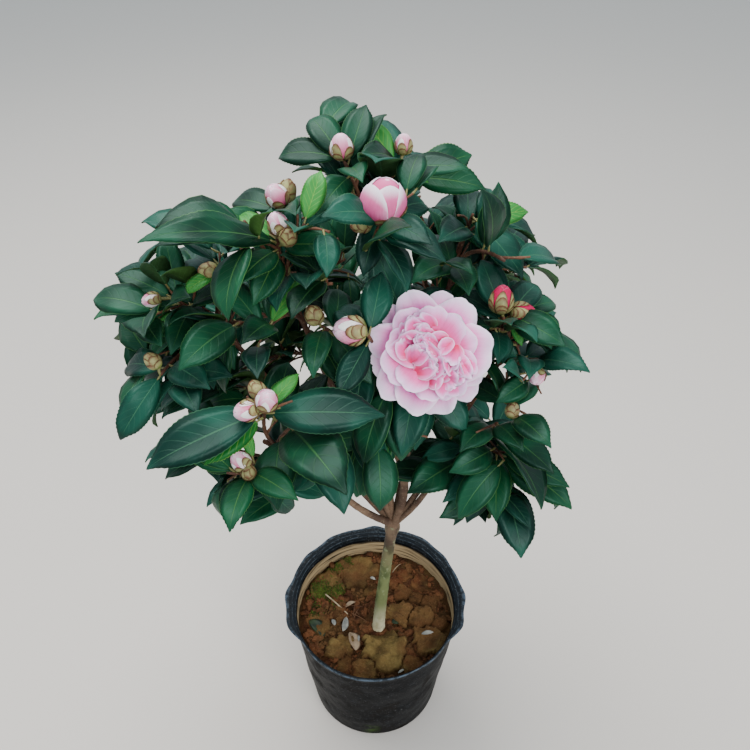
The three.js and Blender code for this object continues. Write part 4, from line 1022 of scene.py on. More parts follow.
def blades(leaves, seed, u):
    """The points of many leaves at the shares u along them: a midrib that rises, droops and curls
    down at its tip, and halves that are folded up from it, arched and wavy at the edge."""
    numbers = np.random.default_rng(seed)
    count, u = len(leaves), u[None, :]
    rise, droop, fold, length, width = leaf_values(leaves, "rise", "droop", "fold", "length", "width")
    frames = [leaf_frame(leaf) for leaf in leaves]
    base, heading, top, side = (np.array([frame[i] for frame in frames])[:, None, :] for i in range(4))
    curl = numbers.uniform(0.1, 0.55, (count, 1)) * np.clip((u - 0.74) / 0.26, 0, 1) ** 1.5
    angle = rise - (rise + droop) * u - curl
    steps, start = np.diff(u) * length, np.zeros((count, 1))
    middle_angle = (angle[:, 1:] + angle[:, :-1]) / 2
    forward = np.concatenate([start, np.cumsum(np.cos(middle_angle) * steps, 1)], 1)
    upward = np.concatenate([start, np.cumsum(np.sin(middle_angle) * steps, 1)], 1)
    sweep = numbers.uniform(-0.05, 0.05, (count, 1)) * length * u ** 2
    normal = top * np.cos(angle)[..., None] - heading * np.sin(angle)[..., None]
    onward = heading * np.cos(angle)[..., None] + top * np.sin(angle)[..., None]
    middle = base + heading * forward[..., None] + top * upward[..., None] + side * sweep[..., None]
    half = half_widths(leaves, u, length, width)
    toothed = u.shape[1] == len(TOOTHED_STEPS)
    tooth = (np.arange(u.shape[1]) % 2) * np.sin(math.pi * u) ** 0.5 * TEETH_DEPTH * toothed
    wave_turn = numbers.uniform(0, FULL_TURN, (count, 2, 1))
    wave_size = numbers.uniform(0.02, 0.07, (count, 1)) * width * np.sin(math.pi * u)
    lines = []
    for share in ACROSS:
        edge = abs(share) == 1
        reach = half * abs(share) + (tooth if edge else 0)
        arch = 0.10 * half * math.sin(math.pi * abs(share) * 0.9)
        lift = reach * np.sin(fold) * (1 - 0.15 * abs(share)) + arch
        wave = np.sin(FULL_TURN * EDGE_WAVES * u + wave_turn[:, 0 if share < 0 else 1])
        lift = lift + wave_size * share ** 2 * wave
        out = np.sign(share) * reach * np.cos(fold)
        line = middle + side * out[..., None] + normal * lift[..., None]
        lines.append(line + onward * (tooth * 0.8)[..., None] if edge else line)
    upper = np.stack(lines, 2)
    lower = upper[:, :, 2:3] - normal[:, :, None] * BLADE_DEPTH
    return np.concatenate([upper, lower], 2)


def make_leaves(name, leaves, finish, seed, nodes=(), steps=PLAIN_STEPS):
    """One joined piece of all the leaves of a kind."""
    own = (steps, LEAF_ROUND)
    tube_piece(name, blades(leaves, seed, steps), finish, nodes, {"leaf": own, "OFBake": own})


print("half a blade's width:", leaf_outline(PLAIN_STEPS).round(2))

# %% [markdown]
# ## The leaf's finish
# The green drifts with a broad noise. The map paints a midrib that is only a little paler, faint side
# veins that curve forward, a thin yellowish rim, and an underside that is olive and duller. Side
# veins are a sawtooth of the share along the leaf, slanted by the share out from the midrib. They and
# the midrib are pressed in a little by a bump, with a fine grain of the skin between them.

# %% Leaf materials
SIDE_VEINS = 8.0
VEIN_SLANT = 2.2
LEAF_SHEEN = {"Specular_IOR_Level": 0.24, "Specular_Tint": (0.58, 1.0, 0.9, 1.0), "Coat_Weight": 0.05,
              "Coat_Roughness": 0.28}


def two_sided(made, name):
    """A leaf's or petal's map: the place, the share along it, the share out from its middle to its
    side edge, and 1 on its underside."""
    place, along_it, round_it = made.own_map(name)
    below = round_it > 0.5
    return place, along_it, abs((round_it - UPPER_MIDDLE - below * 0.5) / HALF_SIDE), below


def leaf_finish(name, deep, light, rib, under, gloss, veins=0.06):
    """A leaf's finish from its two greens, its rib and rim colour, its underside and its gloss."""
    made = Finish(name, gloss, **LEAF_SHEEN)
    _, u, v, below = two_sided(made, "leaf")
    wave = abs((u * SIDE_VEINS - v * VEIN_SLANT).fraction() - 0.5)
    side_vein = made.step(wave, 0.0, 0.1, 1.0, 0.0) * made.step(v, 0.6, 0.9, 1.0, 0.0)
    midrib = made.step(v / (0.065 - u * 0.045), 0.5, 1.1, 1.0, 0.0)
    rim = made.step(v, 0.955, 0.99)
    green = made.mix(made.step(made.noise(22.0, 2.0), 0.35, 0.65), deep, light)
    green = made.mix(side_vein * veins, green, rib)
    green = made.mix(rim * 0.6, green, rib)
    dull = made.mix(side_vein * 0.15, under, rib)
    colour = made.mix(midrib * 0.28, made.mix(below, green, dull), rib)
    rough = below * 0.2 + (made.noise(60.0, 2.0) * 0.12 + (gloss - 0.06))
    height = made.noise(190.0, 3.0) * 0.6 - (side_vein * 0.35 + midrib)
    return made.finish(colour, rough, made.bump(height, 0.0005, 0.55))


leaf_finishes = {
    "old": leaf_finish("old_leaf", (4, 33, 19), (17, 70, 45), (88, 142, 76), (48, 76, 32), 0.42),
    "blue": leaf_finish("blue_leaf", (4, 35, 27), (19, 73, 57), (82, 136, 96), (46, 76, 40), 0.4),
    "mid": leaf_finish("mid_leaf", (7, 54, 32), (16, 76, 44), (108, 160, 76), (60, 94, 40), 0.44),
    "young": leaf_finish("young_leaf", (24, 92, 32), (58, 138, 58), (160, 208, 84), (92, 146, 66), 0.44, 0.3),
}
print("leaf finishes:", list(leaf_finishes))

# %% Deal the leaves out to their kinds
LOW_SPRAYS = 500
OLD_SHARE, BLUE_SHARE = 0.42, 0.84
SPREAD_NUMBER = 2654435761


def kind_of(leaf):
    """Young leaves are their own kind, and the others are dealt out by the spray they grow on: its
    number times a large one, with all above 32 bits dropped, falls anywhere between 0 and 1. The low
    sprays, which get less light, have no leaves of the middling green."""
    if leaf["age"] == YOUNG:
        return "young"
    spray = (leaf["owner"] * SPREAD_NUMBER) % 2 ** 32 / 2 ** 32
    if leaf["length"] > SLIM_LENGTHS[0] or spray < OLD_SHARE:
        return "old"
    return "blue" if spray < BLUE_SHARE or leaf["root"][2] < LOW_SPRAYS else "mid"


leaf_nodes = ["foliage_" + mass.name for mass in masses]
for seed, (kind, finish) in enumerate(leaf_finishes.items()):
    leaves = [leaf for mass in masses for leaf in mass.leaves if kind_of(leaf) == kind]
    plain = [leaf for leaf in leaves if not leaf["leading"]]
    leading = [leaf for leaf in leaves if leaf["leading"]]
    if plain:
        make_leaves("leaves_" + kind, plain, finish, 31 + seed, leaf_nodes if kind == "old" else ())
    make_leaves("leading_leaves_" + kind, leading, finish, 41 + seed, (), TOOTHED_STEPS)

# %% [markdown]
# ## Twigs and leaf stalks
# Stems, shoots and side twigs are round tubes that taper along their curves. The radius swells a
# little at each node where a leaf was borne, which gives young camellia wood its jointed look. The
# leaf stalks are short, thin tubes between twig and blade. The side twigs, which are repeated
# hundreds of times, have fewer rings.

# %% Tubes along curves
def limb_rings(path, radii, sides):
    """Rings round a curve: circles of the given radii, square to the way it runs. The first ring's
    direction is carried on from ring to ring so that the tube doesn't twist."""
    t = np.linspace(0, 1, len(radii))
    centres, headings = along(path, t), heading_of(path, t)
    across = np.empty_like(headings)
    side = sideways(headings[0])[0]
    for i, heading in enumerate(headings):
        side = unit(side - heading * (side @ heading))
        across[i] = side
    over, turn = cross(headings, across), turns(sides)[None, :, None]
    circle = across[:, None] * np.cos(turn) + over[:, None] * np.sin(turn)
    return centres[:, None] + circle * np.asarray(radii)[..., None, None]


def make_tubes(name, tubes, lengths, finish, nodes=()):
    """One joined piece of many tubes with equal rings and sides, mapped along and round in metres."""
    points = np.stack(tubes)
    rings, sides = points.shape[1:3]
    far = np.linspace(0, 1, rings)[None] * np.array(lengths)[:, None] * MM
    own = (far, np.linspace(0, 1, sides + 1))
    tube_piece(name, points, finish, nodes, {"grain": own, "OFBake": own})


print("the trunk's foot:", limb_rings(TRUNK, TRUNK_RADII, 3)[0].round(1).tolist())

# %% Bark and twig materials
def wood_finish(name, dark, light, fleck, roughness, grain):
    """Wood's skin: two browns that drift along the limb, fine streaks lengthwise, pale flecks, and
    the same flecks raised by a bump with a fine grain."""
    made = Finish(name, roughness, Specular_IOR_Level=0.3)
    streak = made.noise(90.0, 4.0, made.own_map("grain")[0], (6.0, 0.1, 1.0))
    spots = made.step(made.noise(420.0, 2.0), 0.60, 0.68)
    colour = made.mix(made.step(made.noise(45.0, 4.0), 0.36, 0.64), dark, light)
    colour = made.mix(made.step(streak, 0.5, 0.62) * 0.35, colour, dark)
    colour = made.mix(spots * 0.5, colour, fleck)
    return made.finish(colour, None, made.bump(made.noise(260.0, 5.0) + spots * 0.5, grain, 0.6))


twig_bark = wood_finish("twig_bark", (72, 44, 34), (108, 72, 52), (140, 118, 92), 0.65, 0.0006)
bough_bark = wood_finish("bough_bark", (74, 54, 42), (118, 94, 74), (150, 134, 108), 0.75, 0.0009)
made = Finish("stalk_skin", 0.45, Specular_IOR_Level=0.4)
stalk_skin = made.finish(made.mix(made.noise(80.0), (92, 106, 58), (138, 122, 76)))
print("finishes:", [finish.name for finish in (twig_bark, bough_bark, stalk_skin)])

# %% Twigs
NODE_GAP = 11.0
NODE_SWELLING, NODE_HALF = 0.35, 1.6


def twig_radii(low, high, length, rings):
    """A taper with a small swelling at every node."""
    place = np.linspace(0, 1, rings) * length
    node = np.exp(-(((place % NODE_GAP) - NODE_GAP / 2) / NODE_HALF) ** 2)
    return low + (high - low) * place / length + NODE_SWELLING * node


def make_twigs(name, paths, rings, sides):
    """One joined piece of twigs, each given as its path and its radii at foot and tip."""
    tubes, lengths = [], []
    for path, low, high in paths:
        steps = np.diff(along(path, np.linspace(0, 1, 9)), axis=0)
        length = float(np.sqrt((steps ** 2).sum(-1)).sum())
        tubes.append(limb_rings(path, twig_radii(low, high, length, rings), sides))
        lengths.append(length)
    make_tubes(name, tubes, lengths, twig_bark)


make_twigs("twigs", [(mass.stem, mass.radii[1] * 0.95, 1.9) for mass in masses]
           + [(twig, 1.8, 1.15) for mass in masses for twig in mass.twigs], 19, 7)
make_twigs("side_twigs", [(twig, 1.05, 0.75) for mass in masses for twig in mass.side_twigs], 8, 6)

# %% Leaf stalks
STALK_RADII = np.linspace(1.0, 0.7, 5)
stalks = []
for mass in masses:
    for leaf in mass.leaves:
        base, heading, top, across = leaf_frame(leaf)
        path = (leaf["root"], leaf["root"] + heading * 3 - top * 0.4, base + heading * 1.5)
        stalks.append(limb_rings(path, STALK_RADII, 6))
make_tubes("leaf_stalks", stalks, [PETIOLE + 2] * len(stalks), stalk_skin)

# %% [markdown]
# ## Trunk and boughs
# The trunk is smooth, pale grey-green bark over its flared foot, turns brown towards its swollen
# fork, and has fine lengthwise wrinkles and a few rings of old leaf scars. A tube with many sides
# carries the relief: seeded ripples, longer along the limb than round it, move its points in and
# out. The boughs are tubes of the same kind, rooted inside the fork, so that no seam shows there.

# %% Trunk finish
def trunk_finish():
    """Cream bark at the foot, olive above it and brown from below the fork, each in two tones, with
    patches of grey-green lichen and a bump of ridges that run lengthwise."""
    made = Finish("trunk_bark", 0.75, Specular_IOR_Level=0.25)
    height, = made.parts(made.object_place(), 2)
    patch = made.step(made.noise(70.0, 4.0, None, (1.0, 1.0, 0.5)), 0.40, 0.60)
    foot = made.mix(patch, (182, 172, 134), (212, 204, 170))
    mossy = made.mix(patch, (72, 82, 46), (104, 112, 70))
    brown = made.mix(patch, (70, 56, 44), (106, 88, 70))
    browning = made.step(height + made.noise(60.0, 3.0) * 0.05, 0.27, 0.345)
    colour = made.mix(browning, made.mix(made.step(height, 0.15, 0.205), foot, mossy), brown)
    lichen = made.step(made.noise(160.0, 3.0), 0.58, 0.66)
    colour = made.mix(lichen * 0.4, colour, (140, 150, 112))
    return made.finish(colour, None, made.bump(made.noise(220.0, 6.0, None, (1.0, 1.0, 0.35)), 0.0012, 0.7))


trunk_bark = trunk_finish()
print(trunk_bark.name)

# %% Trunk
SCAR_GAP = 23
TRUNK_RINGS, TRUNK_SIDES = 150, 40
FOOT_BURIED = 4


def outward_of(points):
    """The direction out from the middle of each ring."""
    return unit(points - points.mean(1, keepdims=True))


def bark_tube(path, radii, sides, seed, relief):
    """A limb with its bark: rings round the curve, moved in or out by ripples that are longer along
    the limb than round it, and by narrow rings of old scars."""
    points = limb_rings(path, radii, sides)
    far = np.linspace(0, 1, len(radii))[:, None] * math.dist(path[0], path[2])
    turn = turns(sides)[None]
    place = stacked(np.cos(turn) * 6, np.sin(turn) * 6, far / 3.5)
    scars = np.exp(-(((far + 2 * ripple(place, 40, seed + 5)) % SCAR_GAP - 11) / 0.9) ** 2)
    bumps = relief * (ripple(place, 5.5, seed) + 0.6 * ripple(place, 2.2, seed + 1) + 0.7 * scars)
    return points + outward_of(points) * bumps[..., None]


trunk_height = FORK[2] - TRUNK[0][2]
t = np.linspace(0, 1, TRUNK_RINGS)
near_foot = np.exp(-t * trunk_height / 7)
fork_swelling = np.exp(-(((t - 0.97) * trunk_height) / 8) ** 2)
trunk_radii = TRUNK_RADII[0] - 1.6 * t + 0.7 * near_foot
trunk_radii += 2.6 * fork_swelling
trunk_points = bark_tube(TRUNK, trunk_radii, TRUNK_SIDES, 3, 0.22)
toes = np.cos(5 * turns(TRUNK_SIDES) + 0.6) * 0.5
trunk_points += outward_of(trunk_points) * (near_foot[:, None] * toes[None])[..., None]
trunk_points[0, :, 2] = SOIL_TOP - FOOT_BURIED
make_tubes("trunk_bark", [trunk_points], [trunk_height], trunk_bark, ["trunk"])

# %% Fork and boughs
KNOB_RADIUS = 7.3
BOUGH_RINGS, BOUGH_SIDES = 60, 20
turn, tilt = np.meshgrid(turns(36), np.linspace(0.06, math.pi - 0.06, 26))
knob = np.stack([np.cos(turn) * np.sin(tilt), np.sin(turn) * np.sin(tilt), -1.25 * np.cos(tilt)], -1)
knob_bumps = 1 + 0.05 * ripple(knob * 8, 7, 8) + 0.02 * ripple(knob * 8, 2.5, 9)
knob = FORK + [0, 0, -3.5] + knob * (KNOB_RADIUS * knob_bumps)[..., None]
make_tubes("fork_bark", [knob], [18.0], bough_bark)
bough_tubes, bough_lengths = [], []
for number, mass in enumerate(masses):
    t = np.linspace(0, 1, BOUGH_RINGS)
    length = math.dist(mass.bough[0], mass.bough[2])
    radii = mass.radii[0] + (mass.radii[1] - mass.radii[0]) * t + 1.2 * np.exp(-t * length / 9)
    bough_tubes.append(bark_tube(mass.bough, radii, BOUGH_SIDES, 40 + 3 * number, 0.13))
    bough_lengths.append(length)
bough_nodes = ["bough_" + mass.name for mass in masses]
make_tubes("boughs", bough_tubes, bough_lengths, bough_bark, bough_nodes)

# %% [markdown]
# ## The open flower
# The flower is of the full, peony-like form: a ring of broad outer petals with pale, notched rims, a
# second ring that stands steeper and is cupped, and a crowded middle of small ruffled petals. A
# petal is a sheet over two shares, s from base to rim and t from side to side. Its midline bends
# from steep at the base to flat at the rim, its sides are cupped, and ripples grow towards the rim.

# %% Rows of petals
OPEN = bloom_centres[int(np.argmax(bloom_open))]
OPEN_FACING = seen_direction(OPEN, 0, 90)
OPEN_UP = unit(UP - OPEN_FACING * (UP @ OPEN_FACING))
OPEN_RIGHT = cross(OPEN_UP, OPEN_FACING)
# Bearing from above and clockwise, reach and width in millimetres, first and last angle from the
# flower's axis in degrees, how far the base lies behind the middle, and twist.
OUTER_PETALS = [
    (338, 49, 36, 58, 96, 14, 0.10), (311, 49, 24, 60, 100, 15, -0.14), (281, 48, 33, 60, 95, 14, 0.12),
    (254, 46, 30, 62, 98, 15, -0.10), (228, 48, 34, 60, 98, 14, 0.10), (196, 47, 37, 58, 94, 13, 0.06),
    (168, 47, 35, 60, 96, 14, -0.08), (130, 46, 30, 62, 98, 15, 0.10), (84, 47, 46, 56, 92, 13, 0.05),
    (34, 47, 38, 58, 95, 13, -0.08), (108, 43, 32, 60, 97, 15, 0.1), (8, 47, 30, 60, 97, 15, 0.1),
]
INNER_PETALS = [
    (322, 41, 33, 44, 84, 12, 0.12), (1, 39, 31, 40, 80, 11, -0.10), (36, 38, 29, 42, 80, 11, 0.12),
    (66, 38, 32, 42, 84, 12, -0.1), (246, 40, 36, 46, 84, 12, 0.12), (214, 36, 32, 42, 76, 11, -0.12),
    (178, 38, 30, 44, 84, 12, 0.15), (145, 41, 32, 46, 86, 12, -0.12), (108, 38, 30, 42, 82, 12, 0.1),
    (285, 37, 29, 42, 80, 11, -0.15),
]
print(len(OUTER_PETALS), "outer and", len(INNER_PETALS), "inner petals")

# %% The shape of a petal
PETAL_STEPS = (22, 19)
PETAL_THICKNESS = 0.5
CRINKLE = 0.5


def petal_shares(rows, columns):
    """The shares s from base to rim and t from side to side: sines, which crowd towards the edges,
    so that the smooth shading of the thin rim stays in a line as thin."""
    return np.sin(math.pi / 2 * np.linspace(0, 1, rows)), np.sin(math.pi / 2 * np.linspace(-1, 1, columns))


def petal_sheets(rows, seed, ruffle, notch, cup, crinkle=CRINKLE, centres=OPEN, up=OPEN_UP, right=OPEN_RIGHT):
    """The upper and lower sides of many petals. Across the petal, the reach falls towards both
    corners like the rim of a fan; along it, the width opens from a narrow base."""
    numbers = np.random.default_rng(seed)
    table = np.array(rows, float)
    count = len(table)
    bearing, reach, width, first, last, behind, twist = (table[:, i, None, None] for i in range(7))
    s, t = petal_shares(*PETAL_STEPS)
    s, t = s[None, :, None], t[None, None, :]
    phase = numbers.uniform(0, FULL_TURN, (4, count, 1, 1))
    rim = (1 - np.abs(0.9 * t) ** 2.8) ** 0.55
    rim = rim * (1 - notch * np.exp(-((t - 0.3 * np.sin(phase[0])) / 0.16) ** 2))
    rim = rim * (1 + 0.02 * np.sin(4 * t + phase[1]))
    opening = 0.16 + 0.84 * np.sin(math.pi / 2 * np.clip(s * 1.15, 0, 1)) ** 1.1
    lateral = width / 2 * opening * t
    angle = np.radians(first + (last - first) * s ** 0.9)
    step = reach * np.diff(s, axis=1)
    pad = np.zeros((count, 1, 1))
    # Scaled by the rim's fall, the lines from the base end sooner towards the petal's corners.
    out = np.concatenate([pad, np.cumsum(np.sin(angle[:, 1:]) * step, 1)], 1) * rim
    rise = np.concatenate([pad, np.cumsum(np.cos(angle[:, 1:]) * step, 1)], 1) * rim
    wave = (s ** 1.6) * ruffle * (np.sin(3.1 * t + phase[1]) + crinkle * np.sin(7.3 * t + phase[2] + 2 * s)
                                  + 0.5 * crinkle * np.sin(12.1 * t + phase[3]))
    lift = cup * width / 2 * opening * t ** 2 * (1 - 0.55 * s) + wave + np.sin(twist) * lateral
    turn = np.radians(bearing)
    outward = up * np.cos(turn)[..., None] + right * np.sin(turn)[..., None]
    level = right * np.cos(turn)[..., None] - up * np.sin(turn)[..., None]
    normal = OPEN_FACING * np.sin(angle)[..., None] - outward * np.cos(angle)[..., None]
    upper = (centres - OPEN_FACING * behind[..., None] + outward * (out * np.cos(twist * s))[..., None]
             + OPEN_FACING * rise[..., None] + level * lateral[..., None] + normal * lift[..., None])
    return upper, upper - normal * PETAL_THICKNESS


def petal_piece(name, sheets, finish):
    """Joins petals: each is a flattened tube whose upper and lower sides share their side edges."""
    points = np.concatenate([np.concatenate([upper, lower[:, :, -2:0:-1]], 2) for upper, lower in sheets])
    s, t = petal_shares(points.shape[1], sheets[0][0].shape[2])
    lower_middle = UPPER_MIDDLE + 0.5
    around = np.concatenate([UPPER_MIDDLE + HALF_SIDE * t, lower_middle + HALF_SIDE * t[-2:0:-1], [0.51]])
    tube_piece(name, points, finish, (), {"petal": (s, around), "OFBake": (s, around)})


print("across a petal:", petal_shares(*PETAL_STEPS)[1].round(2))

# %% [markdown]
# ## The petals' finish
# Camellia petals are soft and slightly see-through, so a little light is scattered under the skin.
# The pink is deepest at the base, fades to pale pink and ends in a nearly white rim. Fine veins run
# from base to rim, so the noise that draws them is squeezed across the petal and stretched along it.

# %% Petal materials
RIM_LINE = (255, 236, 255)


def petal_finish(name, base, middle, rim, rim_start, rim_end=1.05, side=0.7, line_share=0.5):
    """A petal's finish from its colours at the base, in the middle and at the rim, and the shares
    of its length at which the rim's colour starts and is full. side is how much of the rim's colour
    the side edges have, and line_share how strong the thin white line along the edge is."""
    made = Finish(name, 0.6, Subsurface_Weight=0.2, Subsurface_Scale=0.004, Specular_IOR_Level=0.25,
                  Subsurface_Radius=(1.0, 0.5, 0.6))
    place, s, v, _ = two_sided(made, "petal")
    edge = made.step(s, rim_start, rim_end).at_least(made.step(v, 0.6, 1.05, 0.0, side))
    line = made.step(s, 0.955, 0.98).at_least(made.step(v, 0.94, 0.98))
    drift = (made.noise(55.0, 3.0) - 0.5) * 0.5
    colour = made.mix(made.step(s + drift, 0.15, 0.75), base, middle)
    colour = made.mix((edge + drift).clamped(), colour, rim)
    veins = made.step(made.noise(9.0, 3.0, place, (0.35, 14.0, 1.0)), 0.5, 0.62)
    colour = made.mix(veins * made.step(s, 0.45, 0.95, 0.35, 0.05), colour, base)
    colour = made.mix(line * line_share, colour, RIM_LINE)
    return made.finish(colour, None, made.bump(veins, 0.0004, 0.4))


outer_pink = petal_finish("outer_petal", (236, 54, 126), (252, 120, 200), (252, 224, 255), 0.66, 1.02,
                          0.5, 0.8)
inner_pink = petal_finish("inner_petal", (232, 36, 100), (252, 108, 180), (252, 206, 252), 0.7, 1.02, 0.5)
print("finishes:", outer_pink.name, inner_pink.name)

# %% Open flower
RUFFLES = 62
RUFFLE_REACH = 19.0
numbers = np.random.default_rng(77)
ruffles, ruffle_centres = [], []
for i in range(RUFFLES):
    out = RUFFLE_REACH * math.sqrt((i + 0.5) / RUFFLES)
    turn = i * GOLDEN_ANGLE
    ruffle_centres.append(OPEN + (OPEN_UP * math.cos(turn) + OPEN_RIGHT * math.sin(turn)) * out
                          + OPEN_RIGHT * 2.0 - OPEN_UP * 1.5)
    lean = 8 + out * 2.8 + numbers.uniform(-12, 12)
    ruffles.append((math.degrees(turn) + numbers.uniform(-50, 50), numbers.uniform(16, 22),
                    numbers.uniform(12, 22), lean * 0.6, lean + numbers.uniform(5, 45), 9 - 0.5 * out,
                    numbers.uniform(-0.6, 0.6)))
petal_piece("flower_outer_petals", [petal_sheets(OUTER_PETALS, 5, 1.6, 0.03, 0.22)], outer_pink)
petal_piece("flower_inner_petals", [petal_sheets(INNER_PETALS, 8, 1.8, 0.05, 0.38)], inner_pink)
ruffle_sheets = petal_sheets(ruffles, 12, 1.7, 0.16, 0.3, 0.35, np.array(ruffle_centres)[:, None, None],
                             *sideways(OPEN_FACING))
petal_piece("flower_ruffles", [ruffle_sheets], inner_pink)

# %% [markdown]
# ## Buds
# A closed bud is an egg of tightly wrapped petals in a cup of overlapping scales, silky cream to
# green with brown, papery edges. As it swells, pale pink or crimson petals push out of the scales.
# Petals and scales alike are patches laid on the egg: from its foot up to a height of their own,
# round it by a half-width that narrows to a rounded tip, and each a little outside the last. A closed
# egg inside them, the core, shows wherever two patches leave a chink.

# %% Patches on an egg
EGG_LENGTHS = {"half_open": 1.05, "pink": 1.2, "crimson": 1.3, "green": 1.3}
FOOT_ANGLE = 0.10
PEAR = 0.16
PETAL_PATCH = (12, 9)
SCALE_PATCH = (7, 7)


def egg_of(kind, at, faces, width):
    """A bud's middle, the way it faces, two directions square to that, and its length."""
    centre = np.array(at, float)
    facing = seen_direction(centre, *faces)
    return centre, facing, *sideways(facing), width * EGG_LENGTHS[kind]


def egg_reach(polar, width):
    """How far the egg reaches from its axis at an angle from its foot: half its width times the sine,
    a little more below the middle and less above it."""
    return width / 2 * (np.sin(polar) * (1 + PEAR * np.cos(polar)))


def bud_patches(bud, rows, steps):
    """Patches on one bud, a row each: turn round the bud, top as an angle from the foot, half-width
    as an angle, lift off the egg as a share, and how far the tip stands off."""
    centre, facing, a, b, length = egg_of(*bud)
    width = bud[-1]
    turn, top, half, lift, flare = (np.array(rows, float)[:, i, None, None] for i in range(5))
    s, t = petal_shares(*steps)
    s, t = s[None, :, None], t[None, None, :]
    dome = np.sqrt(np.clip(1 - (0.97 * t) ** 2, 0, 1)) ** 0.7
    polar = FOOT_ANGLE + (top - FOOT_ANGLE) * s * (0.45 + 0.55 * dome)
    azimuth = turn + half * t * (1 - 0.25 * s)
    stand = 1 + lift * (1 - 0.4 * np.abs(t)) + flare * s ** 5
    far = -np.cos(polar) * length / 2 * (1 + 0.5 * lift)
    outward = a * np.cos(azimuth)[..., None] + b * np.sin(azimuth)[..., None]
    upper = centre + facing * far[..., None] + outward * (egg_reach(polar, width) * stand)[..., None]
    normal = unit(outward * np.sin(polar)[..., None] - facing * np.cos(polar)[..., None])
    return upper, upper - normal * (0.022 * width)


def bud_rows(seed, inmost, count, lowest, highest, half, lift, flare):
    """Rows of patches in a spiral, the first and lowest outside the later and higher ones, and the
    last one inmost."""
    numbers = np.random.default_rng(seed)
    share = np.linspace(0, 1, count)
    turn = numbers.uniform(0, 6) + np.arange(count) * 2.5
    top = lowest + (highest - lowest) * share + numbers.uniform(-0.1, 0.1, count)
    return np.stack([turn, top, np.full(count, half), lift * (1 - share) + inmost,
                     numbers.uniform(0.2, 1.0, count) * flare], 1)


CORE_POINTS = 14


def bud_core(bud):
    """The closed egg inside a bud: rings round its axis, as wide as the egg is at each height."""
    centre, facing, a, b, length = egg_of(*bud)
    polar, turn = np.linspace(0.06, math.pi - 0.04, CORE_POINTS), turns(CORE_POINTS)
    outward = a * np.cos(turn)[:, None] + b * np.sin(turn)[:, None]
    reach, far = egg_reach(polar, bud[-1]) * 0.97, -np.cos(polar) * length / 2 * 0.98
    return centre + facing * far[:, None, None] + outward * reach[:, None, None]


print("an egg reaches", round(float(egg_reach(math.pi / 2, 1)), 3), "of its width from its axis")

# %% Bud materials
def scale_finish():
    """A bud scale's skin: two greens in clouds, cream towards the tip, dark at the base, brown spots,
    and a brown edge that a fine noise makes ragged."""
    made = Finish("bud_scale", 0.55, Specular_IOR_Level=0.3)
    _, s, v, _ = two_sided(made, "petal")
    ragged = (made.noise(500.0, 3.0) - 0.5) * 0.5
    edge = (made.step(s, 0.82, 1.0).at_least(made.step(v, 0.84, 1.0)) + ragged).clamped()
    skin = made.mix(made.step(made.noise(160.0, 3.0), 0.38, 0.62), (74, 102, 28), (134, 152, 74))
    skin = made.mix(made.step(s, 0.35, 0.7, 0.0, 0.35), skin, (196, 166, 138))
    skin = made.mix(made.step(s, 0.0, 0.35, 0.55, 0.0), skin, (84, 64, 34))
    skin = made.mix(made.step(made.noise(240.0, 4.0), 0.54, 0.64) * 0.45, skin, (146, 92, 72))
    skin = made.mix(edge, skin, (96, 54, 36))
    return made.finish(skin, None, made.bump(made.noise(700.0, 3.0), 0.0003, 0.5))


scale_skin = scale_finish()
pale_petal = petal_finish("bud_pink", (226, 84, 128), (246, 140, 178), (252, 206, 226), 0.6, 1.05, 0.4)
crimson_petal = petal_finish("bud_crimson", (140, 0, 54), (196, 0, 76), (214, 6, 98), 0.9, 1.1, 0.1, 0.1)
bud_petal_finishes = {
    "half_open": petal_finish("bud_half_open", (194, 56, 108), (228, 104, 158), (255, 240, 253), 0.72,
                              0.98, 0.2),
    "pink": pale_petal,
    "white": petal_finish("bud_white", (240, 200, 206), (250, 232, 232), (253, 248, 244), 0.4),
    "crimson": crimson_petal,
}
core_finishes = {
    "deep": petal_finish("bud_inside", (190, 60, 112), (214, 92, 146), (226, 120, 168), 0.8),
    "pink": pale_petal,
    "crimson": crimson_petal,
    "green": scale_skin,
}
print("bud finishes:", list(bud_petal_finishes), list(core_finishes))

# %% [markdown]
# A bud of each kind has its own layers. A row of BUD_LAYERS is what the patches are, a step that
# gives them their own seed, how far the inmost one lies off the egg, and then their number, lowest
# and highest top, half-width, lift and flare. The open flower sits in a cup of scales too, and a pink
# egg fills it between the ruffled petals.

# %% Layers of a bud
BUD_LAYERS = {
    "open_flower": [("scale", 0, 0.03, 7, 1.0, 1.5, 1.0, 0.3, 0.25)],
    "half_open": [("half_open", 0, 0.03, 5, 2.35, 2.75, 1.4, 0.10, 0.04),
                  ("scale", 2, 0.12, 9, 0.8, 1.4, 0.7, 0.1, 0.03)],
    "pink": [("pink", 0, 0.03, 5, 2.7, 3.05, 1.3, 0.04, 0.0), ("white", 1, 0.08, 4, 2.1, 2.5, 0.6, 0.03, 0.0),
             ("scale", 2, 0.11, 13, 0.85, 2.1, 0.7, 0.14, 0.04)],
    "crimson": [("crimson", 0, 0.03, 6, 2.75, 3.05, 1.3, 0.04, 0.0),
                ("scale", 2, 0.11, 17, 0.9, 2.4, 0.7, 0.16, 0.04)],
    "green": [("scale", 0, 0.03, 11, 1.2, 3.0, 1.05, 0.16, 0.03)],
}
CORE_COLOURS = {"half_open": "deep", "pink": "pink", "crimson": "crimson", "green": "green"}
FIRST_BUD_SEED = 60
CALYX_BACK, CALYX_WIDTH = 12, 17
HEART_BACK, HEART_WIDTH = 8, 34
OPEN_FOOT_BACK, OPEN_FOOT_RADIUS = 15, 2.6
print("layers:", {kind: len(rows) for kind, rows in BUD_LAYERS.items()})

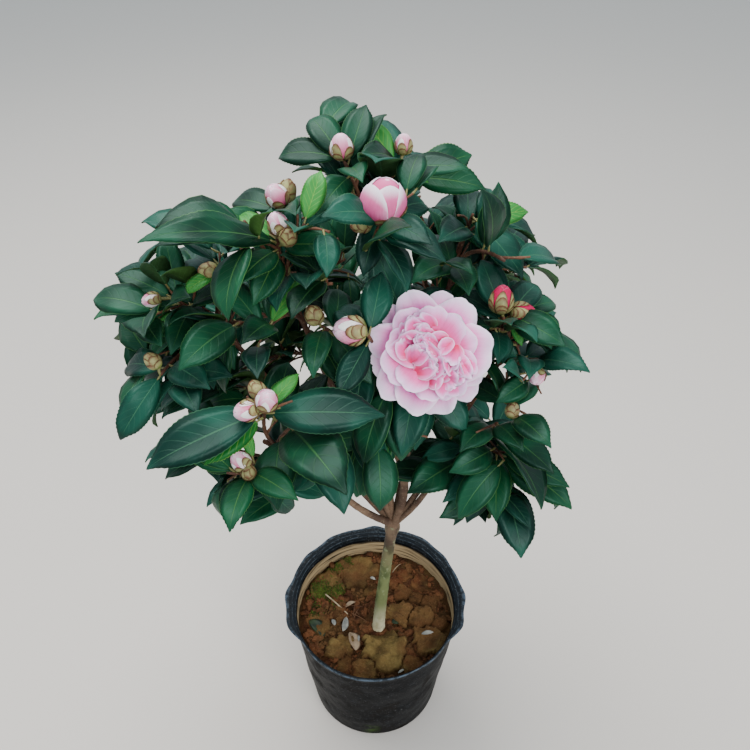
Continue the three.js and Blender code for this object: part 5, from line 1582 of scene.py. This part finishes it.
# %% All the buds
patches = {kind: [] for kind in (*bud_petal_finishes, "scale")}
cores = {colour: [] for colour in core_finishes}
bud_stalks = []
for seed, (shoot, kind, at, faces, width) in enumerate(BLOOMS, FIRST_BUD_SEED):
    centre = np.array(at, float)
    facing = seen_direction(centre, *faces)
    mass = next(mass for mass in masses if shoot in mass.names)
    tip = mass.twigs[mass.names.index(shoot)][2]
    if kind == "open_flower":
        bud = ("green", centre - facing * CALYX_BACK, faces, CALYX_WIDTH)
        core = ("half_open", centre - facing * HEART_BACK, faces, HEART_WIDTH)
        foot, foot_radius = centre - facing * OPEN_FOOT_BACK, OPEN_FOOT_RADIUS
    else:
        bud = core = (kind, at, faces, width)
        foot, foot_radius = centre - facing * (width * EGG_LENGTHS[kind] / 2 - 0.5), max(1.4, width * 0.09)
    for layer, step, *numbers_of_rows in BUD_LAYERS[kind]:
        steps = SCALE_PATCH if layer == "scale" else PETAL_PATCH
        patches[layer].append(bud_patches(bud, bud_rows(seed + step, *numbers_of_rows), steps))
    cores[CORE_COLOURS[core[0]]].append(bud_core(core))
    stalk_length = max(2.0, math.dist(tip, foot))
    path = (tip, tip + unit(facing + unit(foot - tip)) * stalk_length * 0.5, foot)
    bud_stalks.append(limb_rings(path, np.linspace(1.1, foot_radius, 7), 8))
for kind, finish in bud_petal_finishes.items():
    petal_piece("bud_petals_" + kind, patches[kind], finish)
petal_piece("bud_scales", patches["scale"], scale_skin)
# The cores read the petals' map too, so theirs lies along a petal's midline.
s, middle = np.linspace(0, 1, CORE_POINTS), np.full(CORE_POINTS + 1, UPPER_MIDDLE)
core_maps = {"petal": (s, middle), "OFBake": (s, np.linspace(0, 1, CORE_POINTS + 1))}
for colour, finish in core_finishes.items():
    tube_piece("bud_cores_" + colour, np.stack(cores[colour]), finish, (), core_maps)
make_tubes("bloom_stalks", bud_stalks, [8.0] * len(bud_stalks), stalk_skin)

# %% [markdown]
# ## The pot
# It is a thin, soft nursery pot, black and a little bluish, blown from plastic. Its rolled lip is
# ribbed and flares out, wavy, at the back and sides, and is pressed flat at the front. A turned
# shape is a profile carried round an axis: here it runs from the middle of the underside, up the
# outside, over the lip and down the inside to the floor. The lip's waves and the press of the front
# are sums of the angle that grow with how far out on the lip a point lies.

# %% Pot profile
POT_HEIGHT, POT_BASE, POT_MOUTH, POT_WALL = 169.0, 79.0, 95.0, 1.8
LIP_REACH, LIP_DROP = 9.5, 8.0
NECK = POT_MOUTH + POT_WALL
POT_SIDES = 216
# Each run of the profile: its start and end as radius and height, and how many points it has.
POT_RUNS = [
    ((0.5, 3.2), (56, 3.2), 8), ((56, 3.2), (60, 0.2), 3), ((60, 0), (POT_BASE - 3, 0), 5),
    ((POT_BASE - 3, 0), (POT_BASE, 3), 4), ((POT_BASE, 3), (NECK, POT_HEIGHT - LIP_DROP), 60),
    ((NECK, 161), (99.2, 161.4), 3), ((99.2, 161.4), (105.4, 163.8), 6), ((105.4, 163.8), (106.2, 165.8), 4),
    ((106.2, 165.8), (104.6, 167.2), 4), ((104.6, 167.2), (99, 168.6), 8), ((99, 168.6), (95.6, 167.6), 4),
    ((95.6, 167.6), (94.3, 163.0), 6), ((94.3, 163.0), (93.2, 153), 10), ((93.2, 153), (77.2, 6), 44),
    ((77.2, 6), (72, 4.4), 4), ((72, 4.4), (0.5, 4.4), 6),
]
SILT_EDGE = (93.9, 159)


def run(start, end, count):
    """Evenly spaced points from start up to, but not including, end."""
    share = np.arange(count)[:, None] / count
    return np.array(start) * (1 - share) + np.array(end) * share


pot_profile = np.concatenate([run(*row) for row in POT_RUNS])
profile_length = np.concatenate([[0], np.cumsum(np.hypot(*np.diff(pot_profile, axis=0).T))])
profile_share = profile_length / profile_length[-1]
lip_start = float(profile_share[int(np.argmax(pot_profile[:, 0]))])
silt_start = float(profile_share[int(np.argmin(np.hypot(*(pot_profile - SILT_EDGE).T)))])
print("the lip's rim is at", round(lip_start, 3), "and the silt's at", round(silt_start, 3), "of the profile")

# %% Turn the profile, then press and wave the lip
turn = turns(POT_SIDES)[None, :]
radius, height = pot_profile[:, :1], pot_profile[:, 1:]
lip = np.clip((radius - NECK) / LIP_REACH, 0, 1.2)
near_lip = smooth_step(140, 166, height)
pressed = smooth_step(0.28, 0.56, -np.sin(turn))
unpressed = 1 - 0.85 * pressed
back = np.clip(np.sin(turn) + 0.25, 0, 1) ** 1.5
scallops = 1.1 * np.sin(13 * turn) + 0.9 * np.sin(8 * turn + 1.3) + 0.6 * np.sin(21 * turn + 0.4)
waves = 0.9 * np.sin(7 * turn) + 0.9 * np.sin(4 * turn + 2.0) + 0.5 * np.sin(17 * turn)
# Ribs: three on the lip's upper side, and a few faint ones round the wall just under it.
ribs = 0.5 * np.sin(radius * 2.2) * smooth_step(96, 98, radius) * smooth_step(165, 166.5, height)
ribs = ribs + 0.35 * np.sin(height * 1.25) * smooth_step(150, 158, height) * (radius < NECK + 0.1)
place = stacked(np.cos(turn) * radius, np.sin(turn) * radius, height)
wall = (height > 6) & (height < POT_HEIGHT - LIP_DROP)
dents = 0.8 * ripple(place, 90, 4) * smooth_step(4, 40, height) + 0.25 * ripple(place, 22, 6) * wall
reach = radius + lip * (scallops * unpressed - 0.86 * LIP_REACH * pressed) + dents + ribs * unpressed
reach = np.where(radius < 1, radius, reach)
reach = reach + 1.5 * back * lip
rise = height + lip * (waves * unpressed + 1.5 * pressed) + near_lip * 0.9 * ripple(place * [1, 1, 0], 70, 9)
rise = rise + back * (5.0 * near_lip + 2.5 * lip)
pot_points = np.stack([np.cos(turn) * reach, np.sin(turn) * reach, np.maximum(rise, 0)], -1)
print("the mouth is", round(float(np.ptp(pot_points[..., 0]))), "mm wide over its lip")

# %% [markdown]
# The plastic is nearly black, with a soft bluish gloss that dust dulls. Fine pale scratches run round
# the wall, beige silt has dried on the inside just above the soil, a painted bluish highlight runs
# in dots along the lip's rim and ribs over a faint painted sheen, and a little green alga grows low on
# the front. Each of these is a mask from a noise or from the pot's own map, mixed over the black.

# %% Pot finish
RIBS_ALONG = 105.0
FRONT_TURN = 0.74


def plastic_finish():
    """Black plastic with silt, scratches, specks, dust, a painted highlight along the rim, a painted sheen
    on the lip with painted highlights on its ribs, and alga, in that order, each mixed over what is
    there by its own mask. Dust and silt make it rougher."""
    made = Finish("black_plastic", 0.5, Specular_IOR_Level=0.03)
    place, far, turn = made.own_map("shell")
    ring_streaks = made.noise(8.0, 4.0, place, (30.0, 2.0, 1.0))
    silt = made.step(far, silt_start, silt_start + 0.008) * made.step(ring_streaks, 0.25, 0.55)
    scratch = made.step(made.noise(26.0, 4.0, place, (9.0, 1.6, 1.0)), 0.60, 0.68)
    specks = made.step(made.noise(520.0, 2.0), 0.62, 0.70)
    dust = made.step(made.noise(38.0, 5.0), 0.50, 0.72)
    dotted = made.step(made.noise(190.0, 3.0), 0.4, 0.62, 0.15, 0.75)
    # A painted highlight: a dotted bluish-grey line along the lip's outer rim.
    rim_highlight = made.step(abs(far - lip_start), 0.0, 0.008, 1.0, 0.0) * dotted
    # A painted sheen on the whole lip, with a dotted painted highlight on each of its ribs.
    on_lip = made.step(far, lip_start - 0.01, lip_start)
    on_lip = on_lip * made.step(far, silt_start - 0.012, silt_start, 1.0, 0.0)
    rib = made.step(abs((far * RIBS_ALONG).fraction() - 0.5), 0.0, 0.22, 1.0, 0.0) * dotted
    low_front = made.step(abs(turn - FRONT_TURN), 0.0, 0.03, 1.0, 0.0) * made.step(far, 0.2, 0.235, 1.0, 0.0)
    alga = low_front * made.step(made.noise(120.0, 4.0), 0.42, 0.6)
    colour = made.mix(made.noise(14.0, 4.0), (8, 8, 9), (17, 18, 20))
    # Of these mixes, the rim's and the lip's are painted highlight and painted sheen. The rest are the
    # plastic's own colours.
    for share, tint in ((silt * 0.92, (178, 154, 116)), (scratch * 0.12, (110, 118, 128)),
                        (specks * 0.22, (128, 130, 130)), (dust * 0.05, (120, 108, 96)),
                        (rim_highlight, (92, 108, 124)), (on_lip * (rib * 0.5 + 0.06), (98, 111, 122)),
                        (alga, (48, 64, 28))):
        colour = made.mix(share, colour, tint)
    rough = dust.at_least(silt) * 0.35 + 0.42
    return made.finish(colour, rough, made.bump(made.noise(300.0, 4.0) + scratch * -0.4, 0.0006, 0.35))


shell_map = (profile_share, np.linspace(0, 1, POT_SIDES + 1))
tube_piece("nursery_pot", pot_points[None], plastic_finish(), ["pot"],
           {"shell": shell_map, "OFBake": shell_map})

# %% [markdown]
# ## The soil
# A red-brown clay soil fills the pot to a few fingers below its lip. It has dried in large ochre
# clods with cracks between them, and in small crumbs. The ground is a grid of rings and spokes whose
# heights are sums of ripples. A clod is a plateau: each place belongs to the clod that is nearest for
# its size, the rim is steep, and where two clods are equally near there is a crack. The places are
# shifted by ripples first, so that the rims come out ragged.

# %% Ground
# The clods: place, half-width, height, and how ochre the earth is.
CLODS = np.array([
    (30, -2, 15, 10, 0.75), (54, -8, 15, 9, 0.6), (64, -36, 19, 11, 0.8), (12, -50, 25, 11, 0.95),
    (-41, -47, 15, 9, 0.85), (-12, -74, 14, 7, 0.7), (-24, 60, 25, 6, 0.55), (-60, 40, 22, 5, 0.6),
    (56, 44, 11, 6, 0.1), (34, 28, 11, 6, 0.2), (42, -66, 12, 6, 0.3), (-34, -68, 11, 5, 0.4),
    (16, 62, 12, 6, 0.15), (-68, -14, 14, 4, 0.35), (68, 12, 11, 6, 0.1), (36, 56, 9, 6, 0.1),
    (50, 22, 8, 5, 0.15), (-4, 34, 10, 4, 0.3), (78, -14, 9, 5, 0.2), (24, 44, 8, 5, 0.1),
], float)
FOOT_X, FOOT_Y = TRUNK[0][:2]
BARE_OCHRE = 0.25


def clod_relief(x, y):
    """How far each place is on a clod, from 0 in the cracks to 1, how much higher it is there, and
    how ochre."""
    place = np.stack([x, y, np.zeros_like(x)], -1)
    shifted_x = x + 3.2 * ripple(place, 22, 31) + 1.1 * ripple(place, 6, 33)
    shifted_y = y + 3.2 * ripple(place, 22, 32) + 1.1 * ripple(place, 6, 34)
    far = np.hypot(shifted_x[..., None] - CLODS[:, 0], shifted_y[..., None] - CLODS[:, 1])
    far = far / CLODS[:, 2]
    clod, far = CLODS[np.argmin(far, -1)], np.sort(far, -1)
    share = smooth_step(0, 0.14, np.minimum(1.12 - far[..., 0], 0.8 * (far[..., 1] - far[..., 0])))
    lean = (x - clod[..., 0]) * np.sin(clod[..., 0]) + (y - clod[..., 1]) * np.cos(clod[..., 1])
    high = 0.75 * clod[..., 3] + 0.06 * lean + 0.9 * ripple(place, 10, 35) + 0.5 * ripple(place, 3.4, 36)
    return share, share * high, BARE_OCHRE + share * (clod[..., 4] - BARE_OCHRE)


def ground_height(x, y):
    """The soil's surface: broad swells like the frame's, a rough crumb everywhere, and the clods,
    which keep away from the trunk's foot."""
    away = smooth_step(11, 22, np.hypot(x - FOOT_X, y - FOOT_Y))
    broad = 1.6 * np.sin(x * 0.11 + 1) * np.cos(y * 0.09) + 1.1 * np.sin(x * 0.23 - y * 0.19)
    place = np.stack([x, y, np.zeros_like(x)], -1)
    crumb = 0.9 * ripple(place, 14, 2) + 0.7 * np.abs(ripple(place, 6, 3)) + 0.35 * ripple(place, 2.6, 5)
    return SOIL_TOP - 1.5 + away * (broad + clod_relief(x, y)[1]) + (0.4 + 0.6 * away) * crumb


def on_ground(x, y):
    """Points of the ground at the places x, y."""
    return np.stack([x, y, ground_height(x, y)], -1)


SOIL_EDGE = 92.0
SOIL_SPOKES = 260
# The ground's underside, which lies in the pot: radius and height from its edge to its middle.
SOIL_SKIRT = [(91.6, 138.0), (77.0, 5.4), (60.0, 5.0), (0.6, 5.0)]
soil_radii = np.concatenate([[0.6], np.linspace(1.6, SOIL_EDGE, 120)])
spokes = turns(SOIL_SPOKES)
soil_top = on_ground(soil_radii[:, None] * np.cos(spokes), soil_radii[:, None] * np.sin(spokes))
soil_top[..., 2] -= 1.5 * smooth_step(84, SOIL_EDGE, np.hypot(soil_top[..., 0], soil_top[..., 1]))
skirt = np.array([[(r * math.cos(a), r * math.sin(a), z) for a in spokes] for r, z in SOIL_SKIRT])
soil_points = np.concatenate([soil_top, skirt])[::-1]
print("soil between", soil_top[..., 2].min().round(1), "and", soil_top[..., 2].max().round(1), "mm")

# %% [markdown]
# The ground's map holds how far each corner is on a clod, and how ochre the earth is there: the large
# clods and the back left are yellow-brown, the rest is redder. The finish mixes the colours by both,
# and paints shade into the cracks and the low ground off the clods.

# %% Soil finishes
DRY = {"roughness": 0.95, "Specular_IOR_Level": 0.12}


def earth_colour(made, dark, light, stain, scale):
    """The colours of one sort of earth: two browns in clouds, a stain in patches and pale specks."""
    colour = made.mix(made.step(made.noise(scale, 5.0), 0.36, 0.64), dark, light)
    colour = made.mix(made.step(made.noise(scale * 0.4, 3.0), 0.46, 0.62) * 0.7, colour, stain)
    return made.mix(made.step(made.noise(scale * 12, 2.0), 0.62, 0.7) * 0.3, colour, (146, 116, 80))


def earth_grain(made, scale, depth):
    """The grainy bump of dry earth."""
    return made.bump(made.noise(scale * 9, 6.0), depth, 0.8)


def ground_finish():
    """Red earth that passes into ochre where the map says so, with painted shade in the cracks and on
    the low ground off the clods.
    """
    made = Finish("ground_earth", **DRY)
    _, on_clod, ochre_share = made.own_map("earth")
    red = earth_colour(made, (50, 28, 16), (92, 55, 33), (74, 52, 30), 45.0)
    ochre = earth_colour(made, (76, 60, 34), (122, 102, 60), (102, 70, 44), 40.0)
    cloudy = (made.noise(60.0, 4.0) - 0.5) * 1.2
    colour = made.mix((ochre_share + cloudy).clamped(), red, ochre)
    # Painted shade: the cracks and the low ground off the clods are darkened towards dark brown.
    colour = made.mix(made.step(on_clod, 0.02, 0.6, 0.5, 0.0), colour, (40, 24, 14))
    return made.finish(colour, None, earth_grain(made, 45.0, 0.002))


def crumb_finish():
    """Red crumbs of earth."""
    made = Finish("red_crumbs", **DRY)
    colour = earth_colour(made, (64, 38, 24), (104, 66, 42), (92, 68, 42), 70.0)
    return made.finish(colour, None, earth_grain(made, 70.0, 0.0012))


soil_faces = ring_faces(1, len(soil_points), SOIL_SPOKES)
soil_corners = np.concatenate([part.ravel() for part in soil_faces])
clod_share, _, ochre_share = clod_relief(soil_points[..., 0], soil_points[..., 1])
earth_map = np.stack([clod_share.ravel(), ochre_share.ravel()], -1)[soil_corners]
baked_map = ring_map(1, np.linspace(0, 1, len(soil_points)), np.linspace(0, 1, SOIL_SPOKES + 1))
make_piece("soil_ground", soil_points.reshape(-1, 3), soil_faces, ground_finish(), ["soil"],
           {"earth": earth_map, "OFBake": baked_map})

# %% Lumps of earth
LUMP_STEPS = (5, 7)
LUMP_ROUGHNESS = 0.28
FOOT_CRUMBS = 30
POT_INSIDE, FOOT_RADIUS = 88.0, 7.5


def lumps(places, sizes, seed):
    """Squashed, rippled balls at the places: rings of points from the lower pole to the upper, each
    ball longer one way than the other and turned about its own axis."""
    numbers = np.random.default_rng(seed)
    tilt = np.linspace(0.12, math.pi - 0.12, LUMP_STEPS[0])[None, :, None]
    turn = turns(LUMP_STEPS[1])[None, None, :]
    ball = stacked(np.cos(turn) * np.sin(tilt), np.sin(turn) * np.sin(tilt), -np.cos(tilt))
    count, sizes = len(places), sizes[:, None, None]
    place = ball * 10 + numbers.uniform(-500, 500, (count, 1, 1, 3))
    bumps = 1 + LUMP_ROUGHNESS * ripple(place, 13, seed) + 0.5 * LUMP_ROUGHNESS * ripple(place, 5, seed + 1)
    spin = numbers.uniform(0, FULL_TURN, (count, 1, 1))
    longer = numbers.uniform(1.0, 1.45, (count, 1, 1))
    x = ball[..., 0] * bumps * sizes * longer
    y = ball[..., 1] * bumps * sizes / longer
    z = ball[..., 2] * bumps * (sizes * 0.75)
    points = np.stack([x * np.cos(spin) - y * np.sin(spin), x * np.sin(spin) + y * np.cos(spin), z], -1)
    return points + places[:, None, None]


def scatter(count, seed):
    """Seeded places on the ground inside the pot, clear of the trunk's foot."""
    numbers = np.random.default_rng(seed)
    r, a = np.sqrt(numbers.uniform(0, POT_INSIDE ** 2, count)), numbers.uniform(0, FULL_TURN, count)
    places = on_ground(r * np.cos(a), r * np.sin(a))
    return places[np.hypot(places[:, 0] - FOOT_X, places[:, 1] - FOOT_Y) > FOOT_RADIUS]


crumb_places = scatter(2200, 8)
low_enough = clod_relief(crumb_places[:, 0], crumb_places[:, 1])[0] < 0.4
foot_turn = turns(FOOT_CRUMBS)
foot_places = on_ground(FOOT_X + 9.5 * np.cos(foot_turn), FOOT_Y + 9.5 * np.sin(foot_turn))
crumb_places = np.concatenate([foot_places, crumb_places[low_enough]])
count = len(crumb_places)
numbers = np.random.default_rng(41)
crumb_sizes = numbers.uniform(0.8, 1.0, count)
crumb_sizes = crumb_sizes * numbers.choice([1.3, 2.2, 3.6, 5.5], count, p=[0.45, 0.35, 0.15, 0.05])
crumb_sizes[:FOOT_CRUMBS] = numbers.uniform(1.8, 3.6, FOOT_CRUMBS)
tube_piece("red_crumbs", lumps(crumb_places, crumb_sizes, 9), crumb_finish(), smooth=False)

# %% [markdown]
# ## Moss and litter
# The moss is a patch of tiny green tufts, each a three-sided spike, thick in its middle and thin at
# its edge. The litter is a pale straw, a few brown leaf stalks, a dry beige leaf, a dark fallen leaf
# and some pale flakes: small blades and tubes laid on the ground at listed places.

# %% Moss
TUFTS = 1900
# The patches of moss: place, radius, and the share of all tufts that stands there.
MOSS = np.array([(-66, 27, 17, 0.6), (-50, 64, 9, 0.12), (-44, 30, 8, 0.14), (-72, 4, 8, 0.1),
                 (-34, 76, 6, 0.04)])
numbers = np.random.default_rng(15)
home = MOSS[numbers.choice(len(MOSS), TUFTS, p=MOSS[:, 3])]
tuft_xy = home[:, :2] + numbers.normal(size=(TUFTS, 2)) * home[:, 2:3] * 0.5
tuft_xy = tuft_xy[np.hypot(tuft_xy[:, 0], tuft_xy[:, 1]) < POT_INSIDE]
tuft_size = numbers.uniform(0.8, 2.4, len(tuft_xy))[:, None, None]
tuft_foot = on_ground(tuft_xy[:, 0], tuft_xy[:, 1]) - UP * 0.4
lean = numbers.uniform(-0.5, 0.5, (len(tuft_xy), 1, 1, 2))
turn = turns(3)[None, None, :]
thick = np.array([0.5, 0.35, 0.05])[None, :, None] * tuft_size
high = np.array([0.0, 0.55, 1.0])[None, :, None] * tuft_size
tufts = tuft_foot[:, None, None] + stacked(np.cos(turn) * thick + lean[..., 0] * high,
                                           np.sin(turn) * thick + lean[..., 1] * high, high)
made = Finish("moss_green", 0.9, Specular_IOR_Level=0.2)
moss_green = made.finish(made.mix(made.step(made.noise(90.0), 0.35, 0.65), (46, 60, 20), (82, 98, 36)))
tube_piece("moss", tufts, moss_green)

# %% Litter
def litter_finish(name, one, two, roughness=0.7):
    """Dead leaf or straw: two tones in clouds, with a fine grain."""
    made = Finish(name, roughness, Specular_IOR_Level=0.3)
    colour = made.mix(made.step(made.noise(120.0, 3.0), 0.35, 0.65), one, two)
    return made.finish(colour, None, made.bump(made.noise(500.0, 3.0), 0.0004, 0.5))


def fallen(x, y, bearing, length, width, curl, roll, lift):
    """A fallen leaf or flake on the ground, as a row that the leaf blades are made from."""
    way = unit(np.array([math.sin(math.radians(bearing)), math.cos(math.radians(bearing)), 0.05]))
    root = on_ground(x, y) + UP * lift - way * PETIOLE
    return {"root": root, "heading": way, "top_side": UP, "length": length, "width": width,
            "rise": curl, "droop": curl, "fold": 0.25, "roll": roll}


def straw(x1, y1, x2, y2, high, low_radius, high_radius):
    """A thin stick that lies from one place to another, bowed up in its middle."""
    foot, tip = on_ground(x1, y1) + UP * 1.6, on_ground(x2, y2) + UP * 1.6
    return limb_rings((foot, (foot + tip) / 2 + UP * high, tip), np.linspace(low_radius, high_radius, 12), 8)


beige = litter_finish("dry_leaf", (122, 102, 80), (156, 136, 112))
dark_green = litter_finish("fallen_leaf", (22, 36, 22), (40, 56, 30), 0.5)
flake_grey = litter_finish("pale_flake", (112, 114, 110), (154, 152, 142), 0.55)
straw_pale = litter_finish("straw", (128, 112, 88), (164, 148, 120))
stalk_brown = litter_finish("old_stalks", (76, 48, 32), (110, 76, 52))
DRY_LEAVES = [(-22, -50, 340, 26, 17, 0.5, 0.5, 4), (-36, 8, 60, 15, 8, 0.4, -0.4, 2)]
FALLEN_LEAVES = [(-60, -30, 320, 30, 17, 0.3, 0.2, 2.5), (20, -14, 70, 15, 9, 0.4, 0.3, 2)]
FLAKES = [(-38, -26, 10, 20, 9, 0.3, 0.6, 4), (-48, -18, 340, 9, 6, 0.3, 0.3, 3),
          (54, -36, 80, 15, 5, 0.4, 0.2, 8), (-6, 46, 120, 8, 4, 0.3, 0.1, 3),
          (26, -78, 60, 9, 3, 0.3, 0.1, 3), (-19, -32, 180, 9, 3, 0.3, 0.3, 3)]
STRAWS = [(-61, 22, -33, -1, 3.0, 1.0, 0.8), (22, 55, 33, 72, 5.0, 0.5, 0.4)]
OLD_STALKS = [(-30, 12, -18, -4), (-24, 16, -26, -4), (-36, 10, -14, 8), (-28, 0, -10, -12),
              (-20, 6, -26, -8)]
make_leaves("dry_leaf", [fallen(*row) for row in DRY_LEAVES], beige, 71)
make_leaves("fallen_leaf", [fallen(*row) for row in FALLEN_LEAVES], dark_green, 72)
make_leaves("pale_flakes", [fallen(*row) for row in FLAKES], flake_grey, 73)
make_tubes("straws", [straw(*row) for row in STRAWS], [36.0, 22.0], straw_pale)
make_tubes("old_stalks", [straw(*row, 3.0, 0.45, 0.3) for row in OLD_STALKS], [20.0] * len(OLD_STALKS),
           stalk_brown)

# %% [markdown]
# ## The floor
# The plant stands on a plain pale floor, which isn't part of it.

# %% Floor
FLOOR_REACH = 14000.0
FLOOR_CORNERS = np.array([(-1, -1, 0), (1, -1, 0), (1, 1, 0), (-1, 1, 0)]) * FLOOR_REACH
floor_finish = Finish("pale_floor", 0.85).finish((205, 198, 190))
floor = make_piece("floor", FLOOR_CORNERS, [np.array([[0, 1, 2, 3]])], floor_finish)
